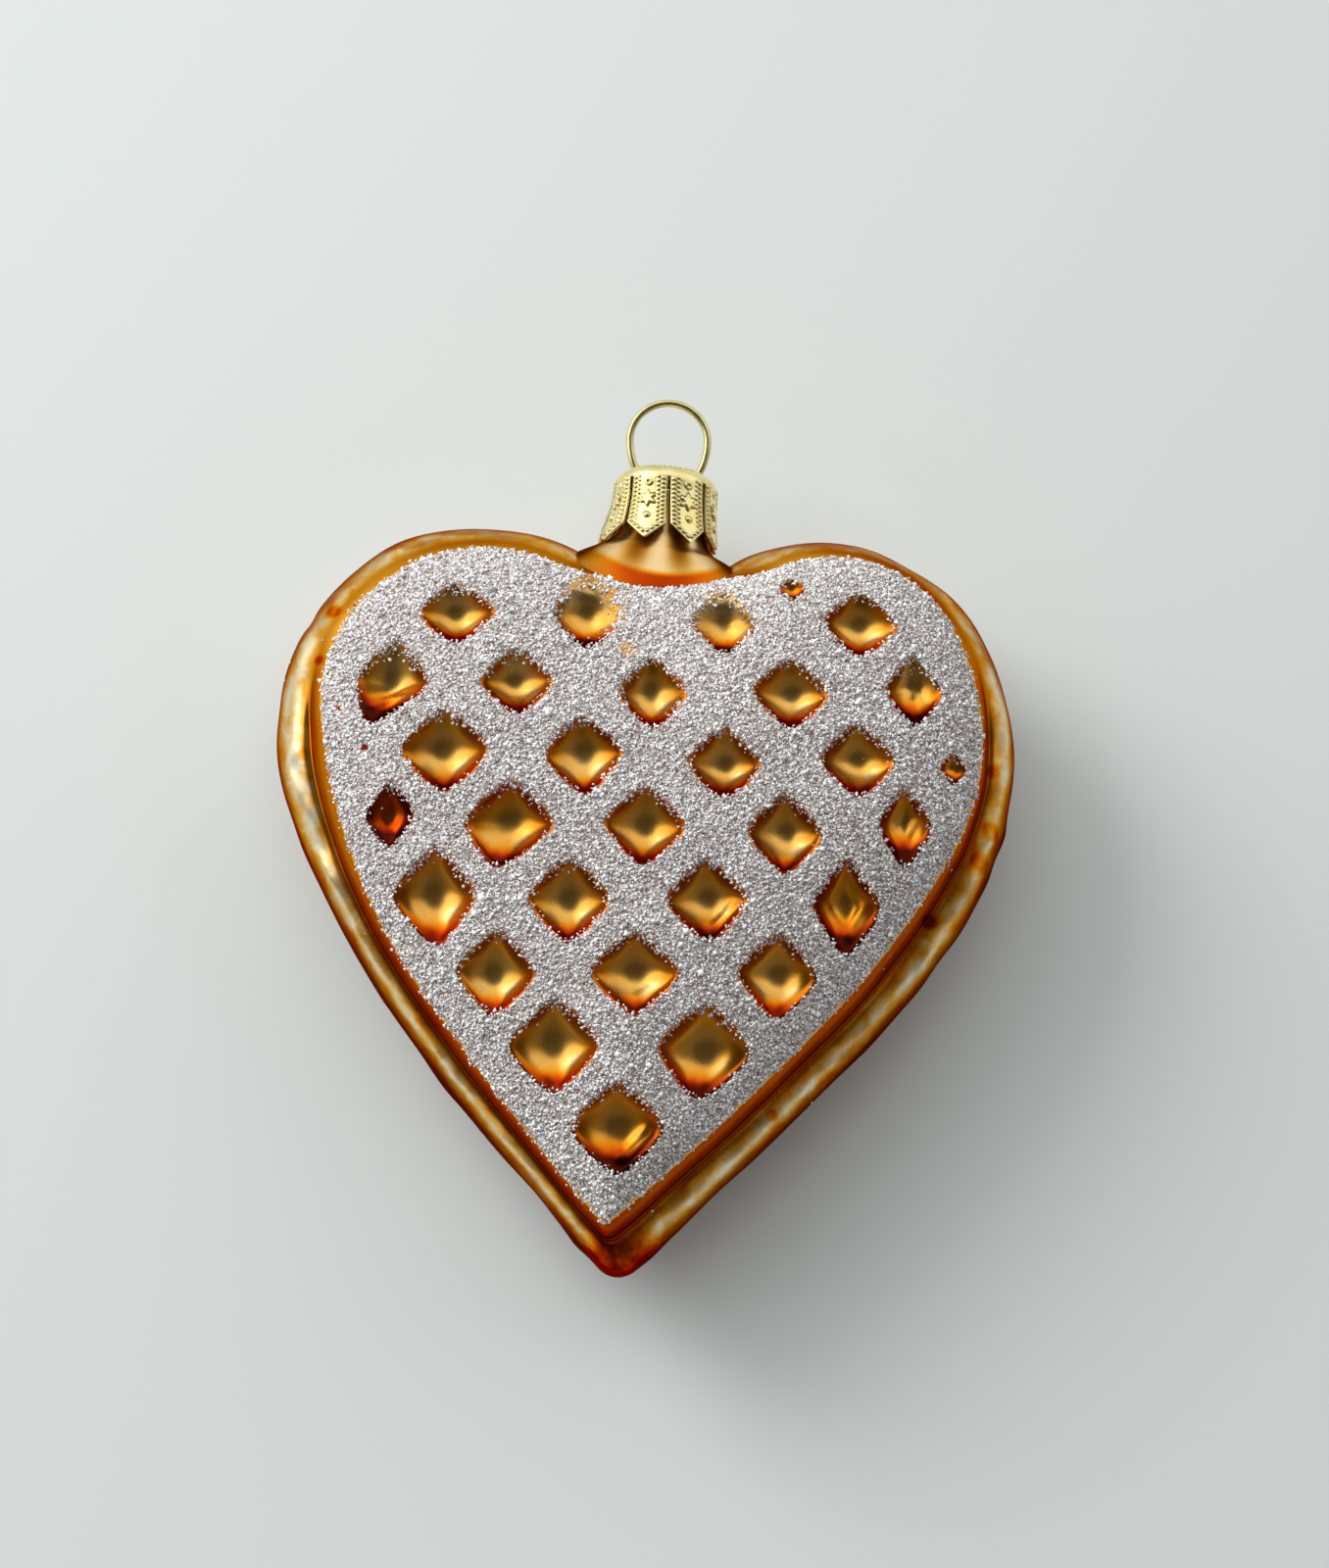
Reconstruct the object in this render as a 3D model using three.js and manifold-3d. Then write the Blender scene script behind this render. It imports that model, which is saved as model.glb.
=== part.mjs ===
// A hanging ornament of blown glass, made as a heart-shaped waffle dusted with sugar.
// It lies on its back: +X to the right, +Y towards the hanging loop, +Z out of the front.
// Lengths are in millimetres and angles in degrees, unless a name says otherwise.
import * as THREE from 'three';
import { mergeVertices } from 'three/addons/utils/BufferGeometryUtils.js';
import Module from 'manifold-3d';

const wasm = await Module();
wasm.setup();

// The two outlines of the heart. Each half is a chain of arcs that runs from the cleft down to
// the tip: an arc has a radius and ends where its outward normal points in the given direction.
// SEAM is the widest outline, half way up. FACE is the edge of the sugared front.
const SEAM = {
  right: { centre: [19.5, 13.4], arcs: [[19.8, 42.7], [24.8, -9.3], [45.2, -43], [475]] },
  left: { centre: [-17.6, 12.5], arcs: [[21.9, 136.5], [23.75, 199.6], [96.5, 217.2], [336]] },
  tipRadius: 2.8,
  cleftRadius: 12,
};
const FACE = {
  right: { centre: [20.3, 15.8], arcs: [[14.3, 29.7], [25.4, -30.3], [97, -44.2], [300]] },
  left: { centre: [-17.6, 12.7], arcs: [[17.8, 150.7], [16.2, 185.5], [61.6, 215.2], [300]] },
  tipRadius: 0.8,
  cleftRadius: 32,
};

// Points along each stretch of an outline.
const TIP_POINTS = 4;
const SIDE_POINTS = 26;
const CLEFT_POINTS = 7;

// The rim's section, from the seam (0) to the face's edge (1): share of the way in, height, and
// height along the top. A rounded band comes first, then a groove, then the shoulder under the
// face. Over the lobes, between the two heights of TOP_STARTS, they merge into one slope.
const RIM = [
  [0, 0, 0], [0.04, 1.5, 1.5], [0.2, 3.3, 3.4], [0.42, 4.3, 4.9], [0.6, 4.6, 5.8],
  [0.68, 4.3, 6.2], [0.76, 5.4, 6.6], [0.88, 6.8, 7.1], [1, 7.5, 7.5],
];
const TOP_STARTS = [14, 24];

// The face swells from its edge to its middle like a pillow.
const FACE_MIDDLE = new THREE.Vector2(0.4, 1);
const FACE_RISE = 6.5;
const SWELL = { flatness: 2.4, fullness: 0.75 };
const FACE_RINGS = [0.965, 0.88, 0.73, 0.52, 0.27];
const EDGE_HEIGHT = RIM.at(-1)[1];

// The back has a small flat place to lie on, this much below the highest point.
const FLAT_DEPTH = 0.6;

// The pockets stand in slanting rows, each moved half a step from the one above.
const LATTICE = { x: -0.9, y: -4.9, middleRow: 4.5, column: 7.1, row: 7.7, lean: -0.5, tilt: -0.08 };
// Each pocket: column, width, height, and how far it was pushed in to the right and upwards.
const POCKET_ROWS = [
  [[-3, 7.6, 6.4, -0.3, 0.1], [-1, 6.9, 7.3, -0.6, -0.3], [1, 6.4, 6.8, -0.1, -0.8],
    [2, 2.9, 2.8, 0.2, 3.9], [3, 7.8, 7.3, 0.4, 0]],
  [[-4, 7.5, 9.5, 0.7, 0.1], [-2, 7.5, 7.3, -0.5, 0.2], [0, 7.1, 7.8, -0.3, -0.8],
    [2, 7.9, 7.6, 0.2, -0.5], [4, 6.1, 7.9, -0.5, 0.7]],
  [[-3, 8.9, 8.7, -0.5, 0.3], [-1, 8.1, 8.3, -0.1, -0.2], [1, 7.6, 7.5, 0.6, -0.6],
    [3, 7.9, 7.8, 0.8, 0.3], [5, 2.9, 3.3, -2.8, 0.2]],
  [[-4, 4.6, 5.8, 1.4, 1], [-2, 9.1, 9, -0.2, 0.1], [0, 8.3, 8.3, -0.2, 0.1],
    [2, 7.7, 8.3, 0.5, -0.3], [4, 5.7, 8.3, -0.6, 1.2]],
  [[-3, 8.3, 9.9, -0.4, 0.3], [-1, 8.3, 8.7, -0.5, -0.2], [1, 8.4, 8.5, -0.2, 0.1],
    [3, 7.1, 9.9, 0.6, 0.2]],
  [[-2, 7.9, 8.7, -0.5, 0], [0, 9, 8.5, -0.2, -0.1], [2, 8.3, 8.7, 0.8, 0.2]],
  [[-1, 9.1, 9.5, -0.9, 0.1], [1, 9.6, 9.7, 0.7, -0.2]],
  [[0, 9.3, 9.4, -0.8, -0.7]],
];
const POCKET_DEPTH = 2.5;
const FULL_DEPTH_WIDTH = 7;
const POCKET_SIDES = 12;
// A pocket's section from its floor upwards: share of the half width, and share of the depth.
const POCKET_SECTION = [[0.4, -0.9], [0.76, -0.5], [1.2, 0.42]];
// 1 makes a pocket's outline a sharp diamond, and 2 an oval.
const POCKET_ROUNDNESS = 1.2;
// The face's slope at a pocket is taken over this distance to each side of it.
const SLOPE_REACH = 0.5;

// The neck and what hangs on it lean a little to the right. NECK_FOOT is where the lean starts.
const NECK_FOOT = new THREE.Vector3(1.8, 33, 0);
const NECK_LEAN = -5.3;
const NECK_SIDES = 24;
// The neck from inside the heart to its mouth: height above its foot, half width, half depth, and
// how far its middle lies to the right.
const NECK_SECTIONS = [
  [-10.5, 13, 8.2, -0.6], [-7, 14.2, 7.75, -0.6], [-5, 12.9, 6.75, -0.6], [-3, 10, 6, -0.6],
  [-2, 8.5, 5.7, -0.6], [-1.2, 6.8, 5.4, -0.65], [-0.4, 5.8, 5.15, -0.35], [0.6, 5, 5, 0],
  [2.6, 4.8, 4.8, 0], [5.3, 4.7, 4.7, 0],
];
// The power of a section's curve: 2 is an ellipse, and more is boxier. The neck's skirt is boxy
// below the first height and an ellipse above the second.
const NECK_BOXINESS = { power: 2.4, below: -4, above: -1 };

// The stamped cap, with its heights counted from the neck's foot.
const CAP = {
  top: 7.7, bottom: -0.85, radius: 5.65, wall: 0.35, shoulder: 1.5, beadRadius: 3.5, beadHeight: 0.35,
  beadWidth: 0.5, tabs: 8, slotWidth: 0.5, slotTop: 6.4, pointHeight: 1.9, sides: 48,
};
// The cap is turned so that a slot starts almost at the front. The tabs twist to the right.
const CAP_TURN = -1;
const CAP_TWIST = 5;
// How far the points of the tabs stand out, on the left and on the right.
const CAP_FLARE = { left: 1.7, right: 0.75 };
const CAP_SKIRT_STEPS = 4;
const SHOULDER_TURNS = [60, 30, 0];
// The notch that points two tabs starts this much below them.
const NOTCH_OVERRUN = 0.3;

// The hanging loop, of springy wire. Its legs go down through two holes in the cap.
const LOOP = { wire: 0.85, halfWidth: 4.3, upper: 4.3, lower: 6, centre: 11.9, foot: 6.1 };
const LOOP_LEAN = 3;
const LOOP_HOLE = { width: 1.8, length: 3, sides: 12 };
const LOOP_TURNS = 16;
const LOOP_STEPS = 38;
const LOOP_SIDES = 8;

// Larger than any side of the ornament, for the cut that flattens the back.
const CUT_SIZE = 100;

// The finishes' plain colours.
const GLASS = new THREE.MeshStandardMaterial({ color: 0xc98a45, roughness: 0.3, metalness: 0.8 });
const CAP_METAL = new THREE.MeshStandardMaterial({ color: 0xd9c184, roughness: 0.35, metalness: 1 });
const WIRE_METAL = new THREE.MeshStandardMaterial({ color: 0xb9a866, roughness: 0.3, metalness: 1 });

const radians = THREE.MathUtils.degToRad;

// ---- solids ----

function solidOf(geometry) {
  const bare = geometry.clone();
  bare.deleteAttribute('normal');
  bare.deleteAttribute('uv');
  const merged = mergeVertices(bare, 1e-4);
  return new wasm.Manifold(new wasm.Mesh({
    numProp: 3,
    vertProperties: new Float32Array(merged.attributes.position.array),
    triVerts: new Uint32Array(merged.index.array),
  }));
}

function geometryOf(solid) {
  const mesh = solid.getMesh();
  const geometry = new THREE.BufferGeometry();
  geometry.setAttribute('position', new THREE.BufferAttribute(mesh.vertProperties, 3));
  geometry.setIndex(new THREE.BufferAttribute(mesh.triVerts, 1));
  geometry.computeVertexNormals();
  return geometry;
}

// Moves every point of a geometry by a function of that point.
function reshape(geometry, move) {
  const position = geometry.attributes.position;
  const point = new THREE.Vector3();
  for (let k = 0; k < position.count; k += 1) {
    move(point.fromBufferAttribute(position, k));
    position.setXYZ(k, point.x, point.y, point.z);
  }
  return geometry;
}

// A closed skin through rings with equal numbers of points, drawn to a point at both ends.
function skinOf(rings, start, end) {
  const count = rings[0].length;
  const points = [start, ...rings.flat(), end];
  const at = (ring, k) => 1 + ring * count + (k % count);
  const last = rings.length - 1;
  const faces = [];
  for (let k = 0; k < count; k += 1) {
    faces.push(0, at(0, k + 1), at(0, k));
    faces.push(points.length - 1, at(last, k), at(last, k + 1));
    for (let ring = 0; ring < last; ring += 1) {
      faces.push(at(ring, k), at(ring, k + 1), at(ring + 1, k + 1));
      faces.push(at(ring, k), at(ring + 1, k + 1), at(ring + 1, k));
    }
  }
  const geometry = new THREE.BufferGeometry().setFromPoints(points);
  geometry.setIndex(faces);
  return geometry;
}

// ---- the heart's outlines ----

function direction(degrees) {
  return new THREE.Vector2(Math.cos(radians(degrees)), Math.sin(radians(degrees)));
}

// The arcs of one half, each with its centre worked out so that neighbours are tangent.
function chainOf({ centre, arcs }) {
  const middle = new THREE.Vector2(...centre);
  return arcs.map(([radius, end], k) => {
    if (k > 0) {
      const [before, turn] = arcs[k - 1];
      middle.addScaledVector(direction(turn), before - radius);
    }
    return { centre: middle.clone(), radius, end };
  });
}

// Where two circles meet: the upper crossing when side is 1 and the lower one when it is -1.
function crossing(a, radiusA, b, radiusB, side) {
  const gap = b.clone().sub(a);
  const distance = gap.length();
  const along = (radiusA ** 2 - radiusB ** 2 + distance ** 2) / (2 * distance);
  const off = Math.sqrt(radiusA ** 2 - along ** 2);
  const across = new THREE.Vector2(-gap.y, gap.x).multiplyScalar(1 / distance);
  const upward = across.y > 0 ? side : -side;
  return a.clone().addScaledVector(gap, along / distance).addScaledVector(across, off * upward);
}

function arc(centre, radius, from, to) {
  return new THREE.ArcCurve(centre.x, centre.y, radius, from, to, to < from);
}

function spaced(curves, count) {
  const path = new THREE.CurvePath();
  curves.forEach((curve) => path.add(curve));
  return path.getSpacedPoints(count).slice(0, count);
}

// The whole outline, counterclockwise from the left of the tip.
function outlineOf(heart) {
  const right = chainOf(heart.right);
  const left = chainOf(heart.left);
  const angle = (from, to) => Math.atan2(to.y - from.y, to.x - from.x);
  const lowRight = right.at(-1);
  const lowLeft = left.at(-1);
  const tip = crossing(lowRight.centre, lowRight.radius - heart.tipRadius,
    lowLeft.centre, lowLeft.radius - heart.tipRadius, -1);
  const cleft = crossing(right[0].centre, right[0].radius + heart.cleftRadius,
    left[0].centre, left[0].radius + heart.cleftRadius, 1);
  const fullTurn = 2 * Math.PI;
  const rightEnds = [angle(right[0].centre, cleft), ...right.slice(0, -1).map((a) => radians(a.end)),
    angle(lowRight.centre, tip)];
  const leftEnds = [angle(left[0].centre, cleft), ...left.slice(0, -1).map((a) => radians(a.end)),
    angle(lowLeft.centre, tip) + fullTurn];
  const rightArcs = right.map((a, k) => arc(a.centre, a.radius, rightEnds[k + 1], rightEnds[k]));
  const leftArcs = left.map((a, k) => arc(a.centre, a.radius, leftEnds[k], leftEnds[k + 1]));
  const tipArc = arc(tip, heart.tipRadius, leftEnds.at(-1), rightEnds.at(-1) + fullTurn);
  const cleftArc = arc(cleft, heart.cleftRadius,
    angle(cleft, right[0].centre) + fullTurn, angle(cleft, left[0].centre) + fullTurn);
  return [
    ...spaced([tipArc], TIP_POINTS),
    ...spaced(rightArcs.reverse(), SIDE_POINTS),
    ...spaced([cleftArc], CLEFT_POINTS),
    ...spaced(leftArcs, SIDE_POINTS),
  ];
}

// ---- the glass heart ----

const seamLine = outlineOf(SEAM);
const faceLine = outlineOf(FACE);

// How far out a point of the face lies: 0 at its middle and 1 at its edge.
function spread(x, y) {
  const ray = new THREE.Vector2(x, y).sub(FACE_MIDDLE);
  for (let k = 0; k < faceLine.length; k += 1) {
    const a = faceLine[k].clone().sub(FACE_MIDDLE);
    const b = faceLine[(k + 1) % faceLine.length].clone().sub(FACE_MIDDLE);
    const before = a.cross(ray);
    const after = ray.cross(b);
    if (before >= 0 && after > 0 && a.dot(ray) > 0) {
      return ray.length() / a.lerp(b, before / (before + after)).length();
    }
  }
  return 0;
}

function swell(share) {
  return EDGE_HEIGHT + FACE_RISE * (1 - Math.min(share, 1) ** SWELL.flatness) ** SWELL.fullness;
}

function rimRing([share, height, topHeight]) {
  return seamLine.map((p, k) => {
    const q = p.clone().lerp(faceLine[k], share);
    const onTop = THREE.MathUtils.smoothstep(p.y, ...TOP_STARTS);
    return new THREE.Vector3(q.x, q.y, THREE.MathUtils.lerp(height, topHeight, onTop));
  });
}

function faceRing(share) {
  return faceLine.map((p) => {
    const q = FACE_MIDDLE.clone().lerp(p, share);
    return new THREE.Vector3(q.x, q.y, swell(share));
  });
}

// The plain pillow, front and back alike, before its pockets are pressed in.
function pillow() {
  const front = [...RIM.map(rimRing), ...FACE_RINGS.map(faceRing)];
  const back = front.slice(1).map((ring) => ring.map((p) => new THREE.Vector3(p.x, p.y, -p.z)));
  const top = new THREE.Vector3(FACE_MIDDLE.x, FACE_MIDDLE.y, swell(0));
  const bottom = new THREE.Vector3(FACE_MIDDLE.x, FACE_MIDDLE.y, -swell(0));
  return solidOf(skinOf([...back.reverse(), ...front], bottom, top));
}

// What turns a point of a circle into one of a soft-cornered diamond.
function diamond(x, y) {
  const out = Math.hypot(x, y);
  const power = POCKET_ROUNDNESS;
  return (Math.abs(x / out) ** power + Math.abs(y / out) ** power) ** (-1 / power);
}

// A four-cornered pocket with soft corners, its floor parallel to the face around it.
function pocket(x, y, width, height, side) {
  const depth = POCKET_DEPTH * Math.min(1, Math.min(width, height) / FULL_DEPTH_WIDTH);
  const [, mouth] = POCKET_SECTION.at(-1);
  const section = [[0, -1], ...POCKET_SECTION, [0, mouth]];
  const profile = section.map(([out, up]) => new THREE.Vector2(out, up));
  const turned = new THREE.LatheGeometry(profile, POCKET_SIDES).rotateX(Math.PI / 2);
  const surface = (dx, dy) => swell(spread(x + dx, y + dy));
  const slopeX = (surface(SLOPE_REACH, 0) - surface(-SLOPE_REACH, 0)) / (2 * SLOPE_REACH);
  const slopeY = (surface(0, SLOPE_REACH) - surface(0, -SLOPE_REACH)) / (2 * SLOPE_REACH);
  const shape = reshape(turned, (p) => {
    const bulge = p.x || p.y ? diamond(p.x, p.y) : 0;
    const u = p.x * bulge * width / 2;
    const v = p.y * bulge * height / 2;
    p.set(x + u, y + v, side * (surface(0, 0) + slopeX * u + slopeY * v + depth * p.z));
  });
  if (side < 0) {
    for (let k = 0; k < shape.index.count; k += 3) {
      const first = shape.index.getX(k);
      shape.index.setX(k, shape.index.getX(k + 1));
      shape.index.setX(k + 1, first);
    }
  }
  return solidOf(shape);
}

function pocketsOf(side) {
  return POCKET_ROWS.flatMap((row, k) => row.map(([column, width, height, right, up]) => {
    const rowsDown = k + 1 - LATTICE.middleRow;
    const x = LATTICE.x + LATTICE.column * column + LATTICE.lean * rowsDown + right;
    const y = LATTICE.y + LATTICE.tilt * column - LATTICE.row * rowsDown + up;
    return pocket(x, y, width, height, side);
  }));
}

// The neck leans with its cap, so it is built upright and then turned about its foot.
const neckPlace = new THREE.Matrix4().makeRotationZ(radians(NECK_LEAN)).setPosition(NECK_FOOT);

function neckRing([height, halfWidth, halfDepth, shift]) {
  const { power, below, above } = NECK_BOXINESS;
  const bow = 2 / THREE.MathUtils.lerp(power, 2, THREE.MathUtils.smoothstep(height, below, above));
  const bowed = (part) => Math.sign(part) * Math.abs(part) ** bow;
  return Array.from({ length: NECK_SIDES }, (_, k) => {
    const turn = -2 * Math.PI * k / NECK_SIDES;
    const x = shift + halfWidth * bowed(Math.cos(turn));
    return new THREE.Vector3(x, height, halfDepth * bowed(Math.sin(turn)));
  });
}

function neck() {
  const rings = NECK_SECTIONS.map(neckRing);
  const start = new THREE.Vector3(0, NECK_SECTIONS[0][0], 0);
  const end = new THREE.Vector3(0, NECK_SECTIONS.at(-1)[0], 0);
  return solidOf(skinOf(rings, start, end).applyMatrix4(neckPlace));
}

function restingCut() {
  const level = FLAT_DEPTH - swell(0);
  const block = new THREE.BoxGeometry(CUT_SIZE, CUT_SIZE, CUT_SIZE);
  return solidOf(block.translate(0, 0, level - CUT_SIZE / 2));
}

function waffleHeart() {
  let body = pillow().add(neck());
  for (const side of [1, -1]) {
    for (const cutter of pocketsOf(side)) {
      body = body.subtract(cutter);
    }
  }
  return geometryOf(body.subtract(restingCut()));
}

// ---- the cap ----

// One side of the cap's wall, from the middle of the top out over the shoulder to the hem.
function capLine(inset) {
  const radius = CAP.radius - inset;
  const top = CAP.top - inset;
  const shoulder = CAP.shoulder - inset;
  const skirtTop = top - shoulder;
  const line = [new THREE.Vector2(0, top), new THREE.Vector2(CAP.beadRadius - CAP.beadWidth, top)];
  if (inset === 0) {
    line.push(new THREE.Vector2(CAP.beadRadius, top + CAP.beadHeight));
  }
  line.push(new THREE.Vector2(radius - shoulder, top));
  for (const turn of SHOULDER_TURNS) {
    const bend = direction(turn).multiplyScalar(shoulder);
    line.push(new THREE.Vector2(radius - shoulder + bend.x, skirtTop + bend.y));
  }
  for (let k = 1; k <= CAP_SKIRT_STEPS; k += 1) {
    const height = THREE.MathUtils.lerp(skirtTop, CAP.bottom, k / CAP_SKIRT_STEPS);
    line.push(new THREE.Vector2(radius, height));
  }
  return line;
}

// A slot with a notch under it that leaves the tabs on both sides with pointed ends.
function slot(turn) {
  const halfNotch = CAP.radius * Math.sin(Math.PI / CAP.tabs) + CAP.wall;
  const halfSlot = CAP.slotWidth / 2;
  const low = CAP.bottom - NOTCH_OVERRUN;
  const shape = new THREE.Shape();
  shape.moveTo(-halfNotch, low);
  shape.lineTo(halfNotch, low);
  shape.lineTo(halfSlot, CAP.bottom + CAP.pointHeight);
  shape.lineTo(halfSlot, CAP.slotTop);
  shape.lineTo(-halfSlot, CAP.slotTop);
  shape.lineTo(-halfSlot, CAP.bottom + CAP.pointHeight);
  const reach = CAP.radius;
  const cutter = new THREE.ExtrudeGeometry(shape, { depth: reach, bevelEnabled: false });
  return solidOf(cutter.translate(0, 0, reach / 2).rotateY(turn));
}

function loopHole(side) {
  const radius = LOOP_HOLE.width / 2;
  const hole = new THREE.CylinderGeometry(radius, radius, LOOP_HOLE.length, LOOP_HOLE.sides);
  return solidOf(hole.translate(loopFoot(side).x, CAP.top, 0));
}

// The tabs twist and spread outwards towards their points, most of all on the left.
function spreadTabs(geometry) {
  const length = CAP.slotTop - CAP.bottom;
  const upright = new THREE.Vector3(0, 1, 0);
  return reshape(geometry, (p) => {
    const down = THREE.MathUtils.clamp((CAP.slotTop - p.y) / length, 0, 1);
    const toRight = (1 + p.x / CAP.radius) / 2;
    const flare = THREE.MathUtils.lerp(CAP_FLARE.left, CAP_FLARE.right, toRight);
    const stretch = 1 + flare * down ** 2 / CAP.radius;
    p.x *= stretch;
    p.z *= stretch;
    p.applyAxisAngle(upright, radians(CAP_TWIST) * down);
  });
}

function cap() {
  const wall = [...capLine(CAP.wall), ...capLine(0).reverse()];
  let body = solidOf(new THREE.LatheGeometry(wall, CAP.sides));
  for (let k = 0; k < CAP.tabs; k += 1) {
    body = body.subtract(slot(radians(CAP_TURN) + 2 * Math.PI * k / CAP.tabs));
  }
  body = body.subtract(loopHole(-1)).subtract(loopHole(1));
  return spreadTabs(geometryOf(body));
}

// ---- the hanging loop ----

// The line of the wire on its lower half narrows like an ellipse towards the cap.
function loopPoint(degrees) {
  const way = direction(degrees);
  const radius = way.y > 0 ? LOOP.upper : LOOP.lower;
  return new THREE.Vector2(LOOP.halfWidth * way.x, LOOP.centre + radius * way.y);
}

// Where a leg passes through the cap's top.
function loopFoot(side) {
  const drop = (LOOP.centre - CAP.top) / LOOP.lower;
  return new THREE.Vector2(side * LOOP.halfWidth * Math.sqrt(1 - drop ** 2), CAP.top);
}

function loop() {
  const start = THREE.MathUtils.radToDeg(-Math.asin((LOOP.centre - CAP.top) / LOOP.lower));
  const line = Array.from({ length: LOOP_TURNS + 1 }, (_, k) => (
    loopPoint(THREE.MathUtils.lerp(start, 180 - start, k / LOOP_TURNS))
  ));
  line.unshift(new THREE.Vector2(line[0].x, LOOP.foot));
  line.push(new THREE.Vector2(line.at(-1).x, LOOP.foot));
  const route = new THREE.CatmullRomCurve3(line.map((p) => new THREE.Vector3(p.x, p.y, 0)));
  const section = new THREE.Shape().absarc(0, 0, LOOP.wire / 2, 0, 2 * Math.PI);
  const wire = new THREE.ExtrudeGeometry(section, {
    extrudePath: route,
    steps: LOOP_STEPS,
    curveSegments: LOOP_SIDES / 2,
    bevelEnabled: false,
  });
  return wire.translate(0, -CAP.top, 0).rotateZ(radians(LOOP_LEAN)).translate(0, CAP.top, 0);
}

// ---- the ornament ----

function named(name, geometry, material) {
  const mesh = new THREE.Mesh(geometry, material);
  mesh.name = name;
  return mesh;
}

const neckTop = new THREE.Group();
neckTop.applyMatrix4(neckPlace);
neckTop.add(named('crown_cap', cap(), CAP_METAL));
neckTop.add(named('hanging_loop', loop(), WIRE_METAL));

const ornament = new THREE.Group();
ornament.add(named('glass_waffle_heart', waffleHeart(), GLASS));
ornament.add(neckTop);

// The origin is under the middle of the whole, on the surface that it lies on.
const extent = new THREE.Box3().setFromObject(ornament, true);
const middle = extent.getCenter(new THREE.Vector3());
ornament.position.set(-middle.x, -middle.y, -extent.min.z);

export default ornament;
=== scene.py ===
"""A hanging ornament of blown glass, made as a heart-shaped waffle dusted with sugar.

Shapes are worked out in millimetres around the heart's own middle, and put into the frame, in
metres, by place(). The glass, the cap and the wire take the places of their plain solids.
"""
import math

import bpy
import numpy as np
from mathutils import Matrix, Vector


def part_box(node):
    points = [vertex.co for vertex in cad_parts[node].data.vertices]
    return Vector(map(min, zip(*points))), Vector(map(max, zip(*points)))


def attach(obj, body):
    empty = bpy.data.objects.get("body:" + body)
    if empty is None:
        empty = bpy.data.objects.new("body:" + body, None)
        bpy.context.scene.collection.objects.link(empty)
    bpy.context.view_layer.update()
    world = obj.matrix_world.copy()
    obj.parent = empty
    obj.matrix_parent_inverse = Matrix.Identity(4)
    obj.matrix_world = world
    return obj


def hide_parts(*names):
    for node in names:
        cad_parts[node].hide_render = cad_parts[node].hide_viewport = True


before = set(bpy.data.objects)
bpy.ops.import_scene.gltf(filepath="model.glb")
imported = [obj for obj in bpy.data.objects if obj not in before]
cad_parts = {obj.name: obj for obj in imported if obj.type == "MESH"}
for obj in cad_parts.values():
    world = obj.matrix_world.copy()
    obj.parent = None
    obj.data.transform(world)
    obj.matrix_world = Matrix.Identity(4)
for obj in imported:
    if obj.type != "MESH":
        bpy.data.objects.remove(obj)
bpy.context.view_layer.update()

MM = 0.001
SEED = 7

# ---- sizes of the glass, in millimetres and degrees ----

# Each half of an outline is a chain of arcs from the cleft to the tip: a radius, and the direction
# of the outward normal where the arc ends.
SEAM = {
    "right": ((19.5, 13.4), ((19.8, 42.7), (24.8, -9.3), (45.2, -43), (475, None))),
    "left": ((-17.6, 12.5), ((21.9, 136.5), (23.75, 199.6), (96.5, 217.2), (336, None))),
    "tip": 2.8,
    "cleft": 12,
}
FACE = {
    "right": ((20.3, 15.8), ((14.3, 29.7), (25.4, -30.3), (97, -44.2), (300, None))),
    "left": ((-17.6, 12.7), ((17.8, 150.7), (16.2, 185.5), (61.6, 215.2), (300, None))),
    "tip": 0.8,
    "cleft": 32,
}
LINE_COUNTS = {"tip": 40, "side": 900, "cleft": 220}
# Small bulges and dents of the seam: place, how far along it they reach, and how far they stand out.
SEAM_WAVES = (
    (-21.5, -27, 3.2, 0.28), (-11.3, -38.5, 3.8, -0.28), (-6.8, -43.4, 1.4, 0.28), (38.3, 0.8, 1.8, 0.4),
    (31.5, -12.8, 2.8, -0.3), (24, -22.3, 4, 0.22), (36.5, -4, 2, 0.2), (-27, 32.5, 4, 0.3),
    (-39.7, 13.5, 3, -0.2), (36, 24.5, 3, 0.2), (7.5, -38.5, 4, -0.24), (0.5, -44.6, 1.8, 0.22),
    (19, 33.2, 5, 0.25), (40, 15, 4, -0.22), (28, 31.3, 3.5, -0.22), (-15.5, 34.4, 4, -0.2),
    (11, 31.2, 3, 0.25), (-36.2, -1.5, 3, 0.15), (-36.5, 23.5, 1.2, -0.2),
)

# The rim's section: share of the way from the seam to the face's edge, height, and height along
# the top, where the band and the shoulder merge between the two heights of TOP_STARTS.
RIM = (
    (0, 0, 0), (0.04, 1.5, 1.5), (0.2, 3.3, 3.4), (0.42, 4.3, 4.9), (0.6, 4.65, 5.8),
    (0.68, 4.55, 6.2), (0.76, 5.4, 6.6), (0.88, 6.8, 7.1), (1, 7.5, 7.5),
)
TOP_STARTS = (14, 24)
RIM_STEPS = 56
SEAM_CLEARANCE = 0.1
EDGE_HEIGHT = RIM[-1][1]
FACE_MIDDLE = np.array((0.4, 1.0))
FACE_RISE = 6.5
FLATNESS = 2.4
FULLNESS = 0.75
FLAT_DEPTH = 0.6
# The mesh's steps in front and behind, and which of the rim's rings it keeps there.
FRONT_STEP, FRONT_RINGS = 0.34, 1
BACK_STEP, BACK_RINGS = 0.55, 2
# How uneven the face, the seam and the band are, where across the rim the band is roughest and how
# widely, and how much of that is sideways.
FACE_UNEVEN, SEAM_UNEVEN = 0.12, 0.26
BAND_CRUMBS, BAND_LUMPS = 0.05, 0.12
BAND_ROUGH = (0.3, 0.16)
BAND_SIDEWAYS = 0.7
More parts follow.
